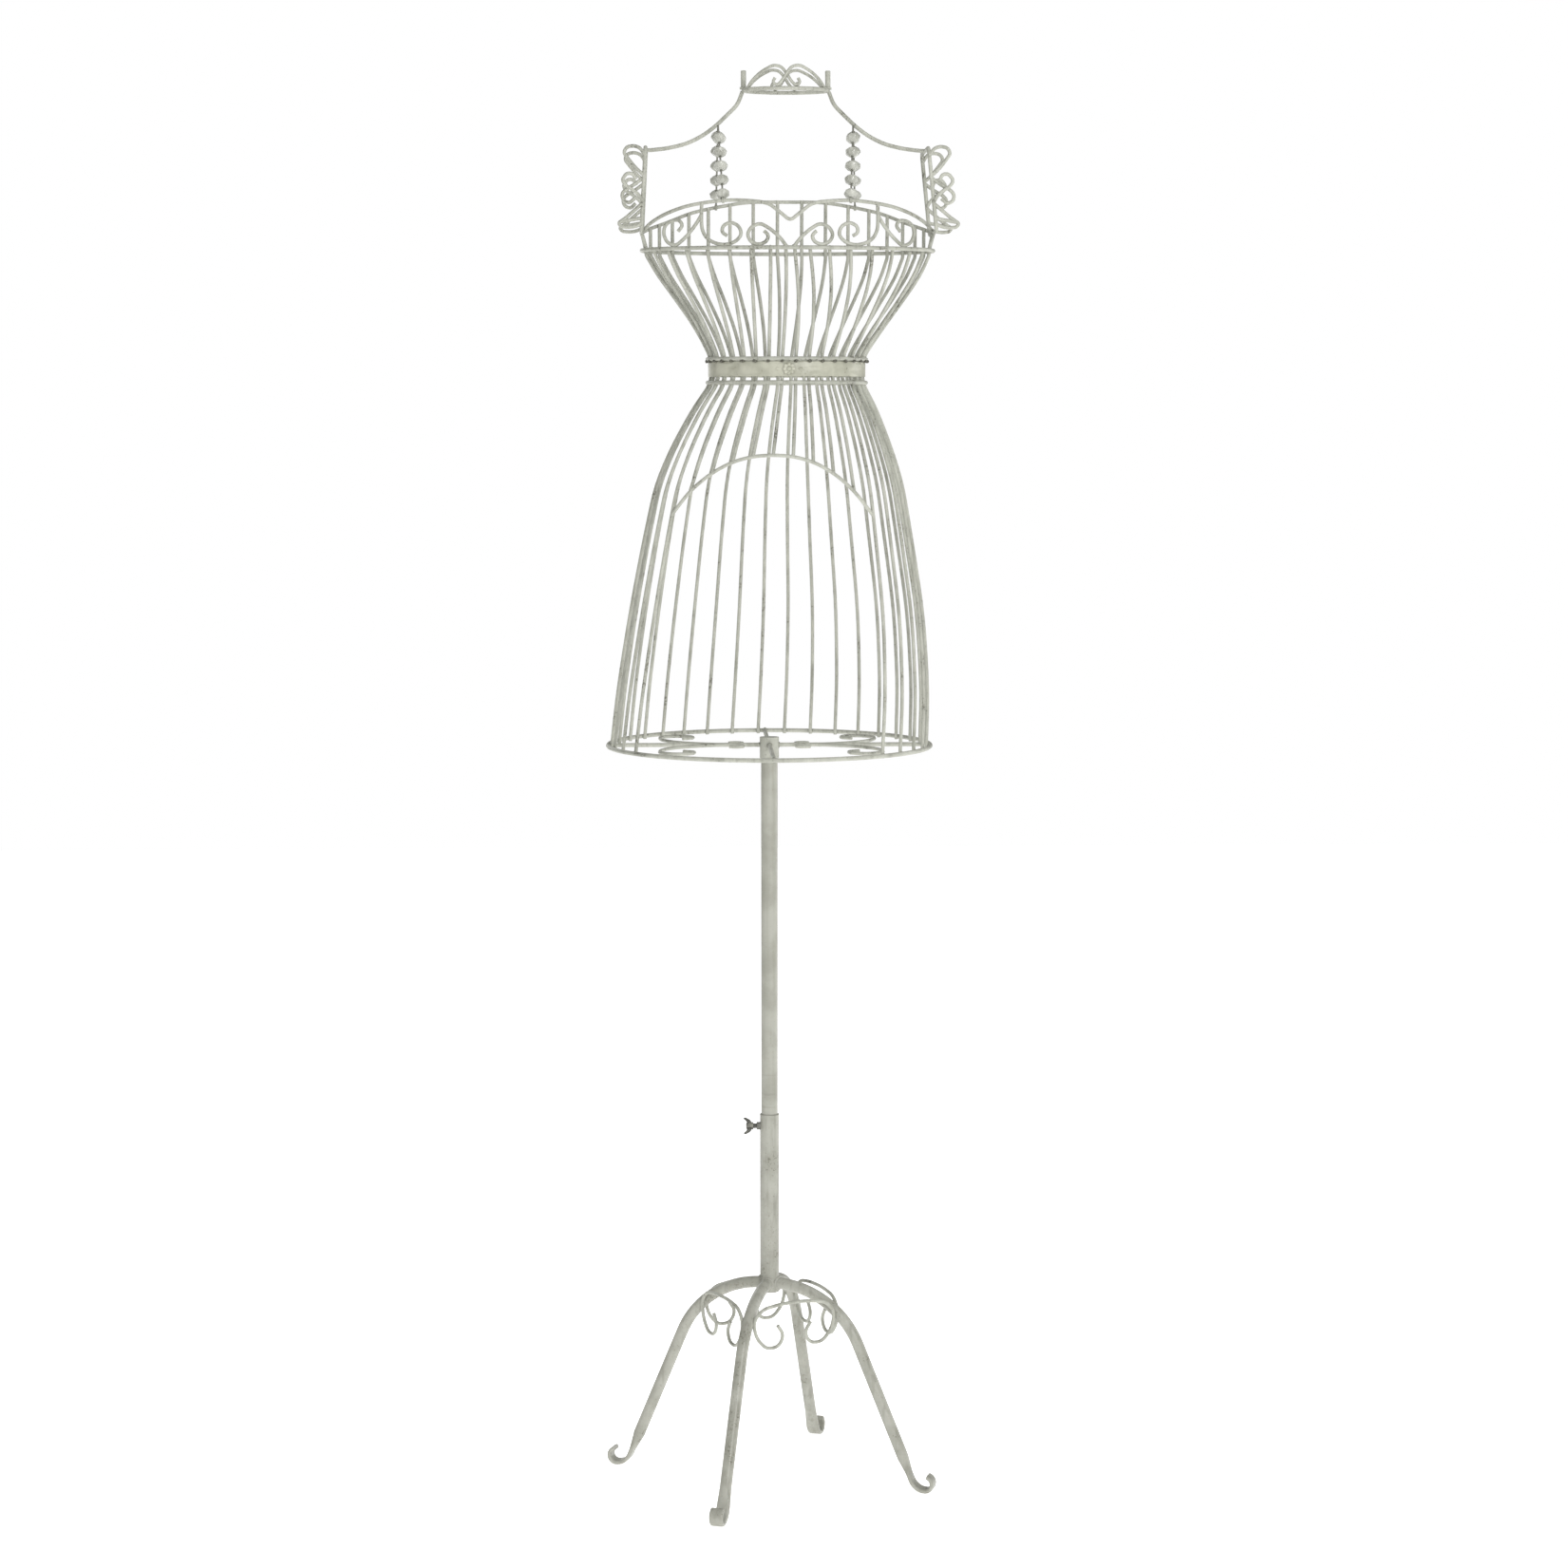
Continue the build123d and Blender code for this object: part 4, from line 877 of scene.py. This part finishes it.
def model_bead():
    """One bead about the Z axis, with its waist at the origin."""
    bpy.ops.object.select_all(action="DESELECT")
    bpy.ops.mesh.primitive_circle_add(vertices=BEAD_SIDES, radius=BEAD_RADIUS * BEAD_RINGS[0][1],
                                      fill_type="NGON", location=(0, 0, -BEAD_HALF_LENGTH))
    bead = bpy.context.object
    bpy.ops.object.transform_apply(location=True, rotation=True, scale=True)
    bpy.ops.object.mode_set(mode="EDIT")
    for (low, low_radius), (high, high_radius) in zip(BEAD_RINGS, BEAD_RINGS[1:]):
        bpy.ops.mesh.select_all(action="DESELECT")
        top = low * BEAD_HALF_LENGTH
        pick("FACE", lambda face: all(abs(vertex.co.z - top) < 0.00001 for vertex in face.verts))
        rise = (high - low) * BEAD_HALF_LENGTH
        bpy.ops.mesh.extrude_region_move(TRANSFORM_OT_translate={"value": (0, 0, rise)})
        grow = high_radius / low_radius
        bpy.ops.transform.resize(value=(grow, grow, 1))
        if (low, high) != (BEAD_RINGS[2][0], BEAD_RINGS[3][0]):
            bpy.ops.transform.rotate(value=pi / BEAD_SIDES, orient_axis="Z",
                                     center_override=(0, 0, high * BEAD_HALF_LENGTH))
    bpy.ops.mesh.select_all(action="SELECT")
    bpy.ops.mesh.quads_convert_to_tris(quad_method="SHORTEST_DIAGONAL")
    bpy.ops.mesh.normals_make_consistent(inside=False)
    bpy.ops.object.mode_set(mode="OBJECT")
    shape(Bevel={"width": 0.00022, "segments": 2, "limit_method": "ANGLE", "angle_limit": radians(12)})
    cups = []
    for end in (-1, 1):
        bpy.ops.mesh.primitive_torus_add(major_radius=CUP_RADIUS, minor_radius=CUP_THICKNESS, major_segments=20,
                                         minor_segments=8, location=(0, 0, end * BEAD_HALF_LENGTH * 0.97))
        bpy.ops.object.shade_smooth()
        cups.append(bpy.context.object)
    for cup in cups:
        cup.select_set(True)
    bead.select_set(True)
    bpy.context.view_layer.objects.active = bead
    bpy.ops.object.join()
    bpy.ops.object.transform_apply(location=True, rotation=True, scale=True)
    bpy.ops.object.shade_smooth_by_angle(angle=radians(11))
    return bead


chance = random.Random(91)
for side_name in SIDES:
    for end_name in ENDS:
        strand = "strap_beads_" + side_name + "_" + end_name
        top, bottom = strap_line(side_name, end_name)
        run = (bottom - top).normalized()
        threading = run.to_track_quat("Z", "X").to_matrix().to_4x4()
        places = []
        for corners in islands(strand):
            along = [(point - top).dot(run) for point in corners]
            middle = top + run * (min(along) + max(along)) / 2
            spin = Matrix.Rotation(chance.uniform(0, pi / 4), 4, "Z")
            places.append(Matrix.Translation(middle) @ threading @ spin)
        strung = copies(model_bead(), places, smooth=False)
        settle(strung, strand + "_cut", bead_material, "torso")
        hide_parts(strand)

low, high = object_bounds()
